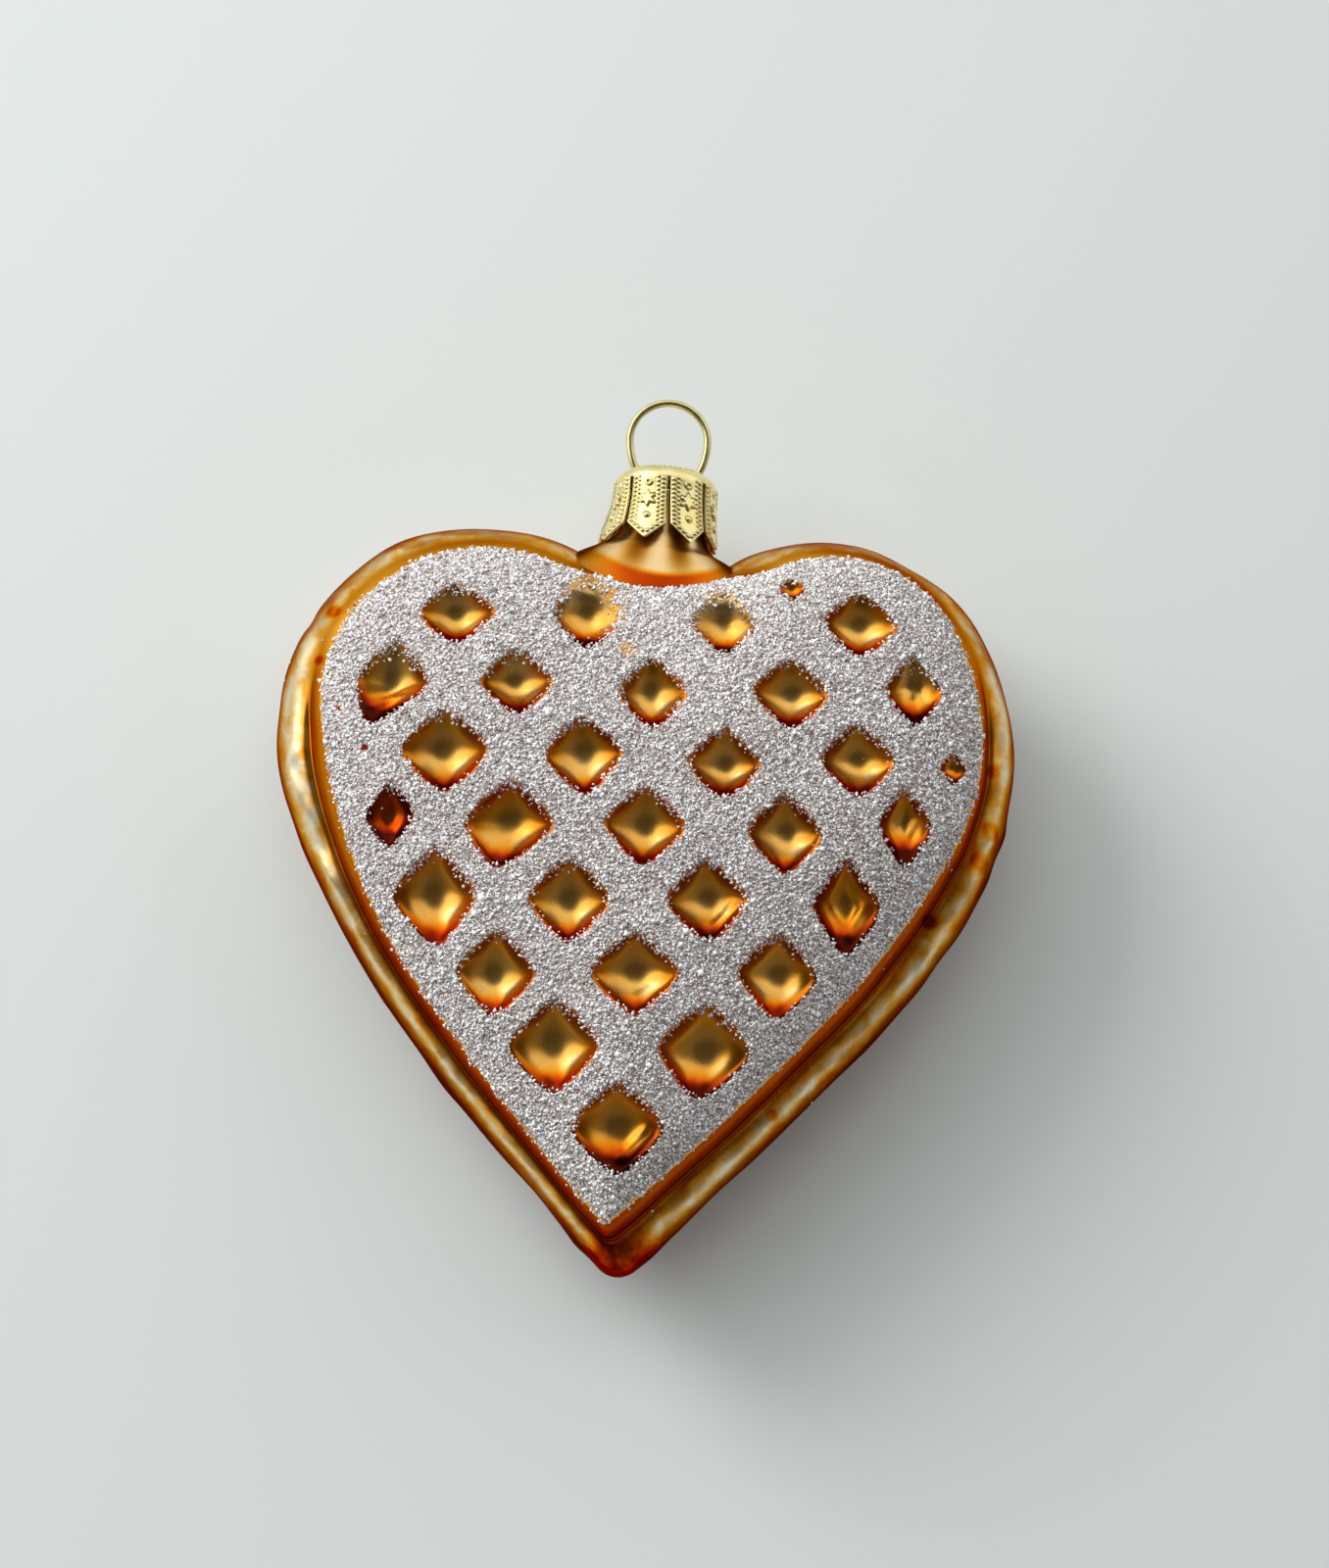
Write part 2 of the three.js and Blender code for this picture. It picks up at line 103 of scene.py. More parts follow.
# How fast it all grows from the seam inwards.
FROM_SEAM = {"rough": 8, "sideways": 10, "up": 6}

# The pockets' lattice, and each pocket's column, width, height, and nudge right and up.
LATTICE = {"x": -0.9, "y": -4.9, "middle": 4.5, "column": 7.1, "row": 7.7, "lean": -0.5, "tilt": -0.08}
POCKET_ROWS = (
    ((-3, 7.8, 6.9, -0.3, 0.2), (-1, 7.5, 8.2, -0.6, 0.1), (1, 7.2, 7.8, -0.1, -0.4),
     (2, 2.9, 2.8, 0.2, 3.9), (3, 7.8, 7.3, 0.4, 0)),
    ((-4, 7.5, 9.5, 0.7, 0.1), (-2, 7.5, 7.3, -0.5, 0.2), (0, 7.1, 7.8, -0.3, -0.8),
     (2, 7.9, 7.6, 0.2, -0.5), (4, 6.1, 7.9, -0.5, 0.7)),
    ((-3, 8.9, 8.7, -0.5, 0.3), (-1, 8.1, 8.3, -0.1, -0.2), (1, 7.6, 7.5, 0.6, -0.6),
     (3, 7.9, 7.8, 0.8, 0.3), (5, 2.9, 3.3, -2.8, 0.2)),
    ((-4, 4.9, 6.8, 1.4, 1.2), (-2, 9.1, 9, -0.2, 0.1), (0, 8.3, 8.3, -0.2, 0.1),
     (2, 7.7, 8.3, 0.5, -0.3), (4, 5.7, 8.3, -0.6, 1.2)),
    ((-3, 8.3, 9.9, -0.4, 0.3), (-1, 8.3, 8.7, -0.5, -0.2), (1, 8.4, 8.5, -0.2, 0.1),
     (3, 7.1, 9.9, 0.6, 0.2)),
    ((-2, 7.9, 8.7, -0.5, 0), (0, 9, 8.5, -0.2, -0.1), (2, 8.3, 8.7, 0.8, 0.2)),
    ((-1, 9.1, 9.5, -0.9, 0.1), (1, 9.6, 9.7, 0.7, -0.2)),
    ((0, 9.3, 9.4, -0.8, -0.7),),
)
POCKET_DEPTH = 2.5
POCKET_CURVE = 2.3
POCKET_LEVEL = 0.75
FULL_DEPTH_WIDTH = 7
POCKET_ROUNDNESS = 1.16
POCKET_SOFTNESS = 0.1
POCKET_TRIM = 1.07
POCKET_WARP = 0.05
FLOOR_WIDTH = 1.15
# Shares of the way out in a pocket: where its round floor turns square, where its lip ends, where its
# floor stops being level, and where folds run out.
FLOOR_TURNS = (0.25, 0.95)
LIP = (0.86, 1.08)
LEVEL_ENDS = (0.5, 1.1)
FOLDS_END = (0.75, 1)

# The neck and all that hangs on it lean to the right from NECK_FOOT. Sections of the neck are
# height above its foot, half width, half depth, and how far their middle lies to the right.
NECK_FOOT = (1.8, 33, 0)
NECK_LEAN = -5.3
NECK_SECTIONS = (
    (-13, 11, 6.5, -0.6), (-10.5, 13, 8.2, -0.6), (-8.4, 14, 8.2, -0.6), (-7, 14.2, 7.75, -0.6),
    (-6, 13.8, 7.25, -0.6), (-5, 12.9, 6.75, -0.6), (-4, 11.6, 6.35, -0.6), (-3, 10.0, 6.0, -0.6),
    (-2, 8.5, 5.7, -0.6), (-1.2, 6.9, 5.4, -0.65), (-0.4, 5.8, 5.15, -0.35), (0.6, 5.0, 5.0, 0),
    (2.6, 4.8, 4.8, 0), (5.3, 4.7, 4.7, 0),
)
NECK_ROWS = 90
NECK_SIDES = 160
# The power of the neck's section: this at its skirt, and 2, an ellipse, above it.
NECK_BOXINESS = 2.4
SKIRT_ENDS = (-4, -1)

# The cap, with heights from the neck's foot.
CAP_TOP = 7.7
CAP_BOTTOM = -1.0
CAP_RADIUS = 5.65
CAP_SHEET = 0.28
CAP_SHOULDER = 1.5
SHOULDER_LOW = CAP_TOP - CAP_SHOULDER
CAP_TABS = 8
CAP_TURN = -1
CAP_TWIST = 5
CAP_FLARE = {"left": 1.7, "right": 0.65}
BEAD_RADIUS = 4.0
BEAD_HALF = 0.26
BEAD_HEIGHT = 0.4
BEADS = 46
# How high the ring of beads is between two beads, as a share, and how round they are.
BEAD_GAP = 0.1
BEAD_ROUNDNESS = 0.8
SLOT_WIDTH = 0.5
SLOT_TOP = 6.4
POINT_HEIGHT = 1.9
TAB_COLUMNS = 40
TAB_ROWS = 84
SLOT_COLUMNS = 4
PLAIN_RINGS = 8
CROWN_STEP = 0.09
TAB_LIFT = 0.05
# Beads stamped in each tab: across, up, radius and height. Two rows of them run up each side, and one
# row along each side of the point.
TAB_BEADS = [(0, 1.75, 0.36, 0.26)]
for side in (-1, 1):
    TAB_BEADS += [(side * 1.6, y, 0.22, 0.17) for y in np.arange(1.1, 6.6, 0.5)]
    TAB_BEADS += [(side * 1.12, y, 0.17, 0.12) for y in np.arange(1.3, 6.4, 0.5)]
    TAB_BEADS += [(side * x, CAP_BOTTOM + 0.62 + x * 0.9, 0.22, 0.17) for x in np.arange(0.25, 1.5, 0.44)]
TAB_RING = {"up": 5.6, "radius": 0.3, "half": 0.14, "height": 0.17}
TAB_STAR = {"up": 3.7, "rays": 6, "reach": 0.98, "notch": 0.5, "flank": 0.09, "height": 0.24}
STAR_GROOVE = {"off": -0.08, "half": 0.06, "depth": 0.08}
# How far a point lies under its neighbours where the painted shade in the stamping's hollows starts, and
# where it is full.
HOLLOW_SHADE_FROM, HOLLOW_SHADE_RANGE = 0.004, 0.035

# The wire loop, with heights from the neck's foot. It leans back to the left on the cap.
WIRE = 0.85
LOOP_HALF_WIDTH = 4.3
LOOP_UPPER = 4.3
LOOP_LOWER = 6
LOOP_CENTRE = 11.9
LOOP_END = 6.1
LOOP_LEAN = 3
LOOP_FOOT = LOOP_HALF_WIDTH * math.sqrt(1 - ((LOOP_CENTRE - CAP_TOP) / LOOP_LOWER) ** 2)
HOLE_RADIUS = 0.8
HOLE_REACH = 1.2
HOLE_SIDES = 24
LOOP_STEPS = 150
LOOP_SIDES = 20

# ---- small helpers ----

rng = np.random.default_rng(SEED)


def way(angle):
    return np.array((math.cos(angle), math.sin(angle)))


def ease(low, high, value):
    """0 below low, 1 above high, and a smooth rise between them."""
    t = np.clip((value - low) / (high - low), 0, 1)
    return t * t * (3 - 2 * t)


def bell(value, middle, width):
    return np.exp(-(((value - middle) / width) ** 2))


def length(rows):
    return np.linalg.norm(rows, axis=1)


def unit(rows):
    return rows / length(rows)[:, None]


def look_up(table, at):
    """What the other columns of a table say where its first is at."""
    return [np.interp(at, table[:, 0], column) for column in table.T[1:]]


def circle(count):
    return math.tau * np.arange(count) / count


def away(points, x, y):
    """How far points lie from a place, as seen from the front."""
    return np.hypot(points[:, 0] - x, points[:, 1] - y)


def smooth_through(knots, count):
    """count points on a smooth line through the knots, which are rows of numbers."""
    knots = np.array(knots, float)
    steps = length(np.diff(knots[:, :2], axis=0))
    at = np.concatenate(([0], np.cumsum(np.sqrt(steps))))
    slopes = np.gradient(knots, at, axis=0)
    want = np.linspace(0, at[-1], count)
    k = np.clip(np.searchsorted(at, want, side="right") - 1, 0, len(at) - 2)
    width = (at[k + 1] - at[k])[:, None]
    t = (want - at[k])[:, None] / width
    start = (1 + 2 * t) * (1 - t) ** 2 * knots[k] + t * (1 - t) ** 2 * width * slopes[k]
    end = t * t * (3 - 2 * t) * knots[k + 1] + t * t * (t - 1) * width * slopes[k + 1]
    return start + end


class Ripple:
    """Slow unevenness: a sum of sine waves in random directions, mostly between -1 and 1."""

    def __init__(self, wavelength, waves=14):
        directions = unit(rng.normal(size=(waves, 3)))
        lengths = wavelength * rng.uniform(0.7, 1.5, waves)
        self.steps = directions * (math.tau / lengths)[:, None]
        self.phases = rng.uniform(0, math.tau, waves)
        self.scale = math.sqrt(2 / waves) * 0.6

    def __call__(self, points):
        return np.sin(points @ self.steps.T + self.phases).sum(1) * self.scale


# ---- the heart's outlines ----


def chain(half):
    """Centre, radius and end direction of each arc of a half."""
    centre, arcs = np.array(half[0], float), half[1]
    found = []
    for k, (radius, end) in enumerate(arcs):
        if k:
            before, turn = arcs[k - 1]
            centre = centre + (before - radius) * way(math.radians(turn))
        found.append((centre, radius, end))
    return found


def crossing(a, radius_a, b, radius_b, upper):
    """Where two circles cross: the upper or the lower point."""
    gap = b - a
    distance = np.linalg.norm(gap)
    along = (radius_a ** 2 - radius_b ** 2 + distance ** 2) / (2 * distance)
    off = math.sqrt(radius_a ** 2 - along ** 2)
    across = np.array((-gap[1], gap[0])) / distance
    if (across[1] > 0) != upper:
        across = -across
    return a + gap * along / distance + across * off


def turn_to(start, end):
    return math.atan2(end[1] - start[1], end[0] - start[0])


def along_arcs(arcs, count):
    """count points evenly along arcs, each a centre, a radius and two angles in radians."""
    lengths = np.array([radius * abs(end - start) for _, radius, start, end in arcs])
    ends = np.cumsum(lengths)
    points = []
    for distance in np.arange(count) * ends[-1] / count:
        k = min(int(np.searchsorted(ends, distance, side="right")), len(arcs) - 1)
        centre, radius, start, end = arcs[k]
        angle = start + (end - start) * (distance - (ends[k] - lengths[k])) / lengths[k]
        points.append(centre + radius * way(angle))
    return points


def half_arcs(half, cleft, tip, turn):
    """Arcs from the cleft to the tip, each with the angles where it starts and ends."""
    ends = [turn_to(half[0][0], cleft), *(math.radians(end) for _, _, end in half[:-1])]
    ends.append(turn_to(half[-1][0], tip) + turn)
    return [(arc[0], arc[1], ends[k], ends[k + 1]) for k, arc in enumerate(half)]


def outline(heart):
    """A closed line round the heart, counterclockwise from the left of its tip."""
    right, left = chain(heart["right"]), chain(heart["left"])
    tip_radius, cleft_radius = heart["tip"], heart["cleft"]
    tip = crossing(right[-1][0], right[-1][1] - tip_radius, left[-1][0], left[-1][1] - tip_radius, False)
    cleft = crossing(right[0][0], right[0][1] + cleft_radius, left[0][0], left[0][1] + cleft_radius, True)
    down_right, down_left = half_arcs(right, cleft, tip, 0), half_arcs(left, cleft, tip, math.tau)
    up_right = [(centre, radius, end, start) for centre, radius, start, end in down_right[::-1]]
    tip_arc = (tip, tip_radius, down_left[-1][3], down_right[-1][3] + math.tau)
    cleft_ends = turn_to(cleft, right[0][0]) + math.tau, turn_to(cleft, left[0][0]) + math.tau
    return np.array([
        *along_arcs([tip_arc], LINE_COUNTS["tip"]),
        *along_arcs(up_right, LINE_COUNTS["side"]),
        *along_arcs([(cleft, cleft_radius, *cleft_ends)], LINE_COUNTS["cleft"]),
        *along_arcs(down_left, LINE_COUNTS["side"]),
    ])


SEAM_LINE = outline(SEAM)
FACE_LINE = outline(FACE)
SEAM_STEPS = length(np.roll(SEAM_LINE, -1, axis=0) - SEAM_LINE)
SEAM_GONE = np.concatenate(([0], np.cumsum(SEAM_STEPS) / SEAM_STEPS.sum()))


def on_line(line, share):
    """Points of an outline at shares of the way round the seam."""
    table = np.column_stack((SEAM_GONE, np.vstack((line, line[:1]))))
    return np.column_stack(look_up(table, share % 1))


def reach_of(line, rays):
    """How far a line round the face's middle lies from it in the directions of rays."""
    own = line - FACE_MIDDLE
    turns = np.arctan2(own[:, 1], own[:, 0])
    order = np.argsort(turns)
    wanted = np.arctan2(rays[:, 1], rays[:, 0])
    return np.interp(wanted, turns[order], length(own)[order], period=math.tau)


def spread(points):
    """How far out of the face's middle points lie: 1 at its edge."""
    rays = points[:, :2] - FACE_MIDDLE
    return length(rays) / reach_of(FACE_LINE, rays)


def rim_share(points):
    """How far in over the rim points lie: 0 at the seam and 1 from the face's edge inwards."""
    rays = points[:, :2] - FACE_MIDDLE
    outer, inner = reach_of(SEAM_LINE, rays), reach_of(FACE_LINE, rays)
    return np.clip((outer - length(rays)) / (outer - inner), 0, 1)


def swell(share):
    return EDGE_HEIGHT + FACE_RISE * (1 - np.clip(share, 0, 1) ** FLATNESS) ** FULLNESS


# The heart's place in the frame: its outline fits the glass solid's box, and its back lies on 0.
GLASS_LOW = np.array(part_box("glass_waffle_heart")[0]) / MM
REST_HEIGHT = float(swell(0)) - FLAT_DEPTH
HEART_AT = np.array((*(GLASS_LOW[:2] - SEAM_LINE.min(0)), REST_HEIGHT))

# ---- the pockets ----


def pocket_list():
    found = []
    for k, row in enumerate(POCKET_ROWS):
        down = k + 1 - LATTICE["middle"]
        for column, width, height, right, up in row:
            x = LATTICE["x"] + LATTICE["column"] * column + LATTICE["lean"] * down + right
            y = LATTICE["y"] + LATTICE["tilt"] * column - LATTICE["row"] * down + up
            found.append((x, y, width, height))
    return found


POCKETS = pocket_list()
POCKET_WARPS = rng.normal(size=(len(POCKETS), 4)) * POCKET_WARP
# Pockets whose lower corner is kicked to a side, by number in the list.
KICKED = {5: 0.62, 16: 0.2, 20: -0.1, 28: 0.1}
# Fine folds in some pockets: from u, v to u, v in the pocket, width, and height outwards.
FOLDS = {
    5: ((-0.6, -0.62, 0.75, -0.08, 0.13, 0.3),),
    9: (
        (0.1, 0.8, 0.1, 0, 0.12, 0.2), (0.1, 0, 0.55, -0.6, 0.13, 0.2),
        (0.1, 0, -0.65, -0.2, 0.13, 0.16),
    ),
    14: ((-0.1, -0.7, 0.5, 0.7, 0.2, 0.2),),
    15: ((-0.3, 0.6, 0.05, -0.1, 0.16, 0.16), (0.3, -0.2, 0, -0.6, 0.14, 0.14)),
    19: (
        (-0.05, 0.75, -0.35, 0.05, 0.12, 0.14), (-0.35, 0.05, 0, -0.4, 0.12, 0.14),
        (0, -0.4, 0.4, 0.15, 0.12, 0.14),
    ),
    22: ((0.15, -0.62, 0.72, -0.05, 0.08, 0.14),),
    23: (
        (0.05, 0.62, 0.55, 0.05, 0.11, 0.16), (0.5, -0.02, 0.05, -0.55, 0.1, 0.16),
        (-0.55, 0, -0.05, -0.5, 0.11, 0.12),
    ),
    25: ((0.6, -0.1, 0.1, -0.55, 0.12, 0.1),),
    29: ((0.62, -0.02, 0.05, -0.62, 0.08, 0.18), (0.78, -0.12, 0.2, -0.68, 0.07, 0.12)),
}
# Pockets with more lacquer in them: in their lower part and all over.
STAINED = {
    3: (0.2, 0.2), 5: (0.34, 0), 9: (0.3, 0), 14: (0.2, 0.15), 15: (0.14, 0.4), 16: (0, 0.06),
    19: (0.42, 0.06), 22: (0.1, 0), 23: (0.22, 0.1), 28: (0.1, 0.02), 29: (0.26, 0.03),
}


def pockets_at(points):
    """Each pocket's number and, for points near it, which they are, how far out they lie (1 at its
    rim) and their place in it."""
    for number, (x, y, width, height) in enumerate(POCKETS):
        reach = max(width, height)
        near = np.flatnonzero((abs(points[:, 0] - x) < reach) & (abs(points[:, 1] - y) < reach))
        lean, pinch = POCKET_WARPS[number, :2]
        u = (points[near, 0] - x) / (width / 2)
        v = (points[near, 1] - y) / (height / 2)
        kick = KICKED.get(number, 0) * np.clip(-v, 0, 1)
        u, v = u + lean * v + pinch * u * v + kick, v - lean * u
        soft_u, soft_v = (np.sqrt(w * w + POCKET_SOFTNESS ** 2) - POCKET_SOFTNESS for w in (u, v))
        out = (soft_u ** POCKET_ROUNDNESS + soft_v ** POCKET_ROUNDNESS) ** (1 / POCKET_ROUNDNESS)
        yield number, near, out * POCKET_TRIM, u, v


def fold_height(u, v, start_u, start_v, end_u, end_v, width, height):
    """A fine ridge along a line in a pocket."""
    run_u, run_v = end_u - start_u, end_v - start_v
    along = np.clip(((u - start_u) * run_u + (v - start_v) * run_v) / (run_u ** 2 + run_v ** 2), 0, 1)
    return height * bell(np.hypot(u - start_u - along * run_u, v - start_v - along * run_v), 0, width)


def pocket_press(points):
    """How deep the pockets are pressed in at points of the face."""
    depth = np.zeros(len(points))
    for number, near, out, u, v in pockets_at(points):
        x, y, width, height = POCKETS[number]
        full = min(1, min(width, height) / FULL_DEPTH_WIDTH)
        tilt = 1 + POCKET_WARPS[number, 2] * u + POCKET_WARPS[number, 3] * v
        square = ease(*FLOOR_TURNS, out)
        bowl = np.clip(square * out + (1 - square) * FLOOR_WIDTH * np.hypot(u, v), 0, 1)
        depth[near] += full * POCKET_DEPTH * tilt * (1 - bowl ** POCKET_CURVE) * (1 - ease(*LIP, out))
        level = swell(spread(points[near])) - swell(spread(np.array([[x, y]])))[0]
        depth[near] += POCKET_LEVEL * (1 - ease(*LEVEL_ENDS, out)) * level
        raised = np.zeros(len(near))
        for fold in FOLDS.get(number, ()):
            raised = np.maximum(raised, fold_height(u, v, *fold))
        depth[near] -= raised * (1 - ease(*FOLDS_END, out))
    return depth


# ---- meshes ----


def place(points):
    """Points round the heart's middle, in millimetres, to the frame, in metres."""
    return (np.asarray(points, float) + HEART_AT) * MM


def mesh_object(name, points, faces):
    """An object with points in metres, and faces as an array with one row of points a face."""
    mesh = bpy.data.meshes.new(name)
    mesh.vertices.add(len(points))
    mesh.vertices.foreach_set("co", np.asarray(points, np.float32).ravel())
    mesh.loops.add(faces.size)
    mesh.loops.foreach_set("vertex_index", faces.astype(np.int32).ravel())
    mesh.polygons.add(len(faces))
    mesh.polygons.foreach_set("loop_start", np.arange(len(faces), dtype=np.int32) * faces.shape[1])
    mesh.update(calc_edges=True)
    mesh.validate()
    thing = bpy.data.objects.new(name, mesh)
    bpy.context.scene.collection.objects.link(thing)
    return thing


def shade_smooth(thing):
    thing.data.polygons.foreach_set("use_smooth", np.ones(len(thing.data.polygons), bool))
    thing.data.update()


def read(items, name, width, kind=np.float32):
    """One property of all a mesh's points, edges or triangles, in rows of a width."""
    found = np.empty(len(items) * width, kind)
    items.foreach_get(name, found)
    return found.reshape(-1, width)


def points_of(thing):
    """A mesh's points in the heart's own millimetres."""
    return read(thing.data.vertices, "co", 3).astype(float) / MM - HEART_AT


def keep_field(thing, name, values):
    """Stores a number at each point of a mesh, for its finish to read."""
    layer = thing.data.attributes.new(name, "FLOAT", "POINT")
    layer.data.foreach_set("value", np.asarray(values, np.float32))


def apply_changes(thing):
    """Makes a mesh what its modifiers show, and removes them."""
    graph = bpy.context.evaluated_depsgraph_get()
    old = thing.data
    thing.data = bpy.data.meshes.new_from_object(thing.evaluated_get(graph))
    thing.modifiers.clear()
    bpy.data.meshes.remove(old)


def combine(thing, other, operation):
    """Joins other to thing, or cuts it out, and deletes other."""
    change = thing.modifiers.new("combine", "BOOLEAN")
    change.operation = operation
    change.solver = "MANIFOLD"
    change.object = other
    apply_changes(thing)
    bpy.data.objects.remove(other)


def zip_rings(start, count, next_start, next_count, flip):
    """Triangles between two closed rings with different numbers of points, or to one point."""
    faces = []
    i = j = 0
    while i < count or (j < next_count and next_count > 1):
        a, b = start + i % count, next_start + j % next_count
        if next_count == 1 or (i + 1) * next_count <= (j + 1) * count:
            faces.append((a, start + (i + 1) % count, b))
            i += 1
        else:
            faces.append((a, next_start + (j + 1) % next_count, b))
            j += 1
    return [face[::-1] for face in faces] if flip else faces


UNEVEN = Ripple(9)
CRUMB = Ripple(2.4, 30)
LUMPS = Ripple(5)
SIDES_APART = 5.0


def on_face(points, side):
    """Points of the finished face over plan points, on the front (1) or the back (-1)."""
    share = spread(points)
    slow = UNEVEN(np.column_stack((points, np.full(len(points), SIDES_APART * side))))
    height = swell(share) - pocket_press(points) + FACE_UNEVEN * slow * (1 - share ** 8)
    if side < 0:
        height = np.minimum(height, REST_HEIGHT)
    return np.column_stack((points, side * height))


def face_rings(side, step):
    """Rings of points over one face from its edge inwards, with ever fewer points."""
    rows = round(length(FACE_LINE - FACE_MIDDLE).mean() / step)
    whole = length(np.roll(FACE_LINE, -1, axis=0) - FACE_LINE).sum()
    rings = []
    for row in range(1, rows):
        share = 1 - row / rows
        count = max(8, round(whole * share / step))
        edge = on_line(FACE_LINE, np.arange(count) / count)
        rings.append(on_face(FACE_MIDDLE + (edge - FACE_MIDDLE) * share, side))
    return [*rings, on_face(FACE_MIDDLE[None], side)]


def rim_rings(seam, face, side, every):
    """Rings of points from the seam up over the band and the shoulder to the face's edge."""
    mirrored = [(share, -height, -top) for share, height, top in RIM[2:0:-1]]
    section = smooth_through([*mirrored, *RIM], RIM_STEPS)
    inward = unit(face - seam)
    rings = []
    for share, low, top in section[section[:, 1] > SEAM_CLEARANCE][::every]:
        height = low + (top - low) * ease(*TOP_STARTS, seam[:, 1])
        ring = np.column_stack((seam + (face - seam) * share, side * height))
        rough = bell(share, *BAND_ROUGH) * min(1, share * FROM_SEAM["rough"])
        lump = rough * (BAND_CRUMBS * CRUMB(ring) + BAND_LUMPS * LUMPS(ring))
        lump = lump + SEAM_UNEVEN * (1 - share) * UNEVEN(ring)
        sideways = lump * BAND_SIDEWAYS * min(1, share * FROM_SEAM["sideways"])
        ring[:, :2] -= inward * sideways[:, None]
        ring[:, 2] += side * lump * min(1, share * FROM_SEAM["up"])
        rings.append(ring)
    return rings


def wavy(seam):
    """The seam with its small bulges and dents."""
    outward = unit(seam - FACE_MIDDLE)
    push = np.zeros(len(seam))
    for x, y, reach, amount in SEAM_WAVES:
        push += amount * bell(away(seam, x, y), 0, reach)
    return seam + outward * push[:, None]


def glass_body():
    """The pillow-shaped heart with its rim and pockets, finer in front than behind."""
    count = round(SEAM_STEPS.sum() / FRONT_STEP)
    gone = np.arange(count) / count
    seam, face = wavy(on_line(SEAM_LINE, gone)), on_line(FACE_LINE, gone)
    rings = [np.column_stack((seam, np.zeros(count)))]
    faces = []
    total = count
    for side, step, every in ((1, FRONT_STEP, FRONT_RINGS), (-1, BACK_STEP, BACK_RINGS)):
        low, low_count = 0, count
        for ring in [*rim_rings(seam, face, side, every), *face_rings(side, step)]:
            faces.extend(zip_rings(low, low_count, total, len(ring), side < 0))
            low, low_count = total, len(ring)
            rings.append(ring)
            total += len(ring)
    return mesh_object("glass_heart", place(np.vstack(rings)), np.array(faces))


NECK_TURN = np.array(Matrix.Rotation(math.radians(NECK_LEAN), 3, "Z"))
NECK_LINE = smooth_through(NECK_SECTIONS, NECK_ROWS)


def neck_piece(name, points, faces):
    """An object with points in the neck's own frame, in millimetres."""
    return mesh_object(name, place(np.asarray(points, float) @ NECK_TURN.T + np.array(NECK_FOOT)), faces)


def to_neck(points):
    return (points - np.array(NECK_FOOT)) @ NECK_TURN


def loft(rings, start, end):
    """Points and triangles of a closed skin through equal rings, with a point at each end."""
    count = len(rings[0])
    points = np.vstack([[start], *rings, [end]])
    here = np.arange(count)
    after = (here + 1) % count
    last = len(points) - 1 - count
    faces = [
        np.column_stack((np.zeros(count, int), 1 + after, 1 + here)),
        np.column_stack((np.full(count, len(points) - 1), last + here, last + after)),
    ]
    for low in range(1, last, count):
        high = low + count
        faces.append(np.column_stack((low + here, low + after, high + after)))
        faces.append(np.column_stack((low + here, high + after, high + here)))
    return points, np.vstack(faces)


def neck_boxiness(height):
    """The power of the neck's section at a height."""
    return 2 + (NECK_BOXINESS - 2) * (1 - ease(*SKIRT_ENDS, height))


def glass_neck():
    turns = -circle(NECK_SIDES)
    rings = []
    for height, wide, deep, shift in NECK_LINE:
        power = 2 / neck_boxiness(height)
        x, z = (np.sign(part) * abs(part) ** power for part in (np.cos(turns), np.sin(turns)))
        rings.append(np.column_stack((shift + wide * x, np.full(NECK_SIDES, height), deep * z)))
    return neck_piece("neck", *loft(rings, (0, NECK_LINE[0, 0], 0), (0, NECK_LINE[-1, 0], 0)))


def on_neck(points):
    """1 at points that lie on the neck's own surface, and else 0."""
    own = to_neck(points)
    wide, deep, shift = look_up(NECK_LINE, own[:, 1])
    power = neck_boxiness(own[:, 1])
    out = (abs((own[:, 0] - shift) / wide) ** power + abs(own[:, 2] / deep) ** power) ** (1 / power)
    above = (own[:, 1] > 0) & (abs(own[:, 0]) < CAP_RADIUS)
    return ((abs(out - 1) < 0.01) & (own[:, 1] > NECK_LINE[0, 0])) | above


# ---- what covers the glass, and where ----

# Places where the sugar is thin or gone: x, y, radius and how much is missing.
RUBBED = (
    (-6.6, 25.4, 3.2, 0.45), (-3.6, 24.0, 2.2, 0.3), (7.4, 25.0, 2.4, 0.35), (-33.2, 12.2, 0.35, 1),
    (-30.4, 7.8, 0.45, 1), (-2.5, 18.5, 1.4, 0.4),
)
# Pockets whose upper edge the sugar fades into, and the two where it fades in all round.
FADED = (0, 1, 2, 3, 5, 6, 9)
SOFT = (1, 2)
# How far beyond the face's edge the sugar reaches by the neck, and how widely.
SUGAR_BY_NECK = {"beyond": 0.08, "width": 6.5}
# Shares of the way out in a pocket where the sugar starts, and in how much more it is whole. Where it
# fades, it starts earlier by the second number or takes longer by it.
SUGAR_STARTS, SUGAR_WHOLE = (0.87, 0.24), (0.26, 0.32)
FADES = {"upper": 0.8, "soft": 1.1}

TIP = SEAM_LINE[SEAM_LINE[:, 1].argmin()]
# How far from the tip its dark lacquer starts to thin, and ends.
TIP_ENDS = (2.5, 7)
TIP_LACQUER = 0.82
# Depth of the lacquer across the rim: share of the way in, low down, up the sides and along the top.
# It is partly painted light: the pale middle and paler sides are painted highlight, and the deeper low
# column painted shade.
RIM_LACQUER_AND_LIGHT = np.array((
    (0, 0.9, 0.7, 0.7), (0.03, 0.66, 0.5, 0.55), (0.07, 0.5, 0.38, 0.4), (0.14, 0.46, 0.26, 0.32),
    (0.2, 0.34, 0.15, 0.28), (0.26, 0.18, 0.1, 0.24), (0.32, 0.14, 0.08, 0.2), (0.4, 0.28, 0.1, 0.2),
    (0.48, 0.42, 0.18, 0.24), (0.56, 0.5, 0.32, 0.3), (0.64, 0.6, 0.42, 0.36), (0.7, 0.68, 0.48, 0.4),
    (0.85, 0.66, 0.5, 0.42), (1, 0.64, 0.54, 0.44),
))
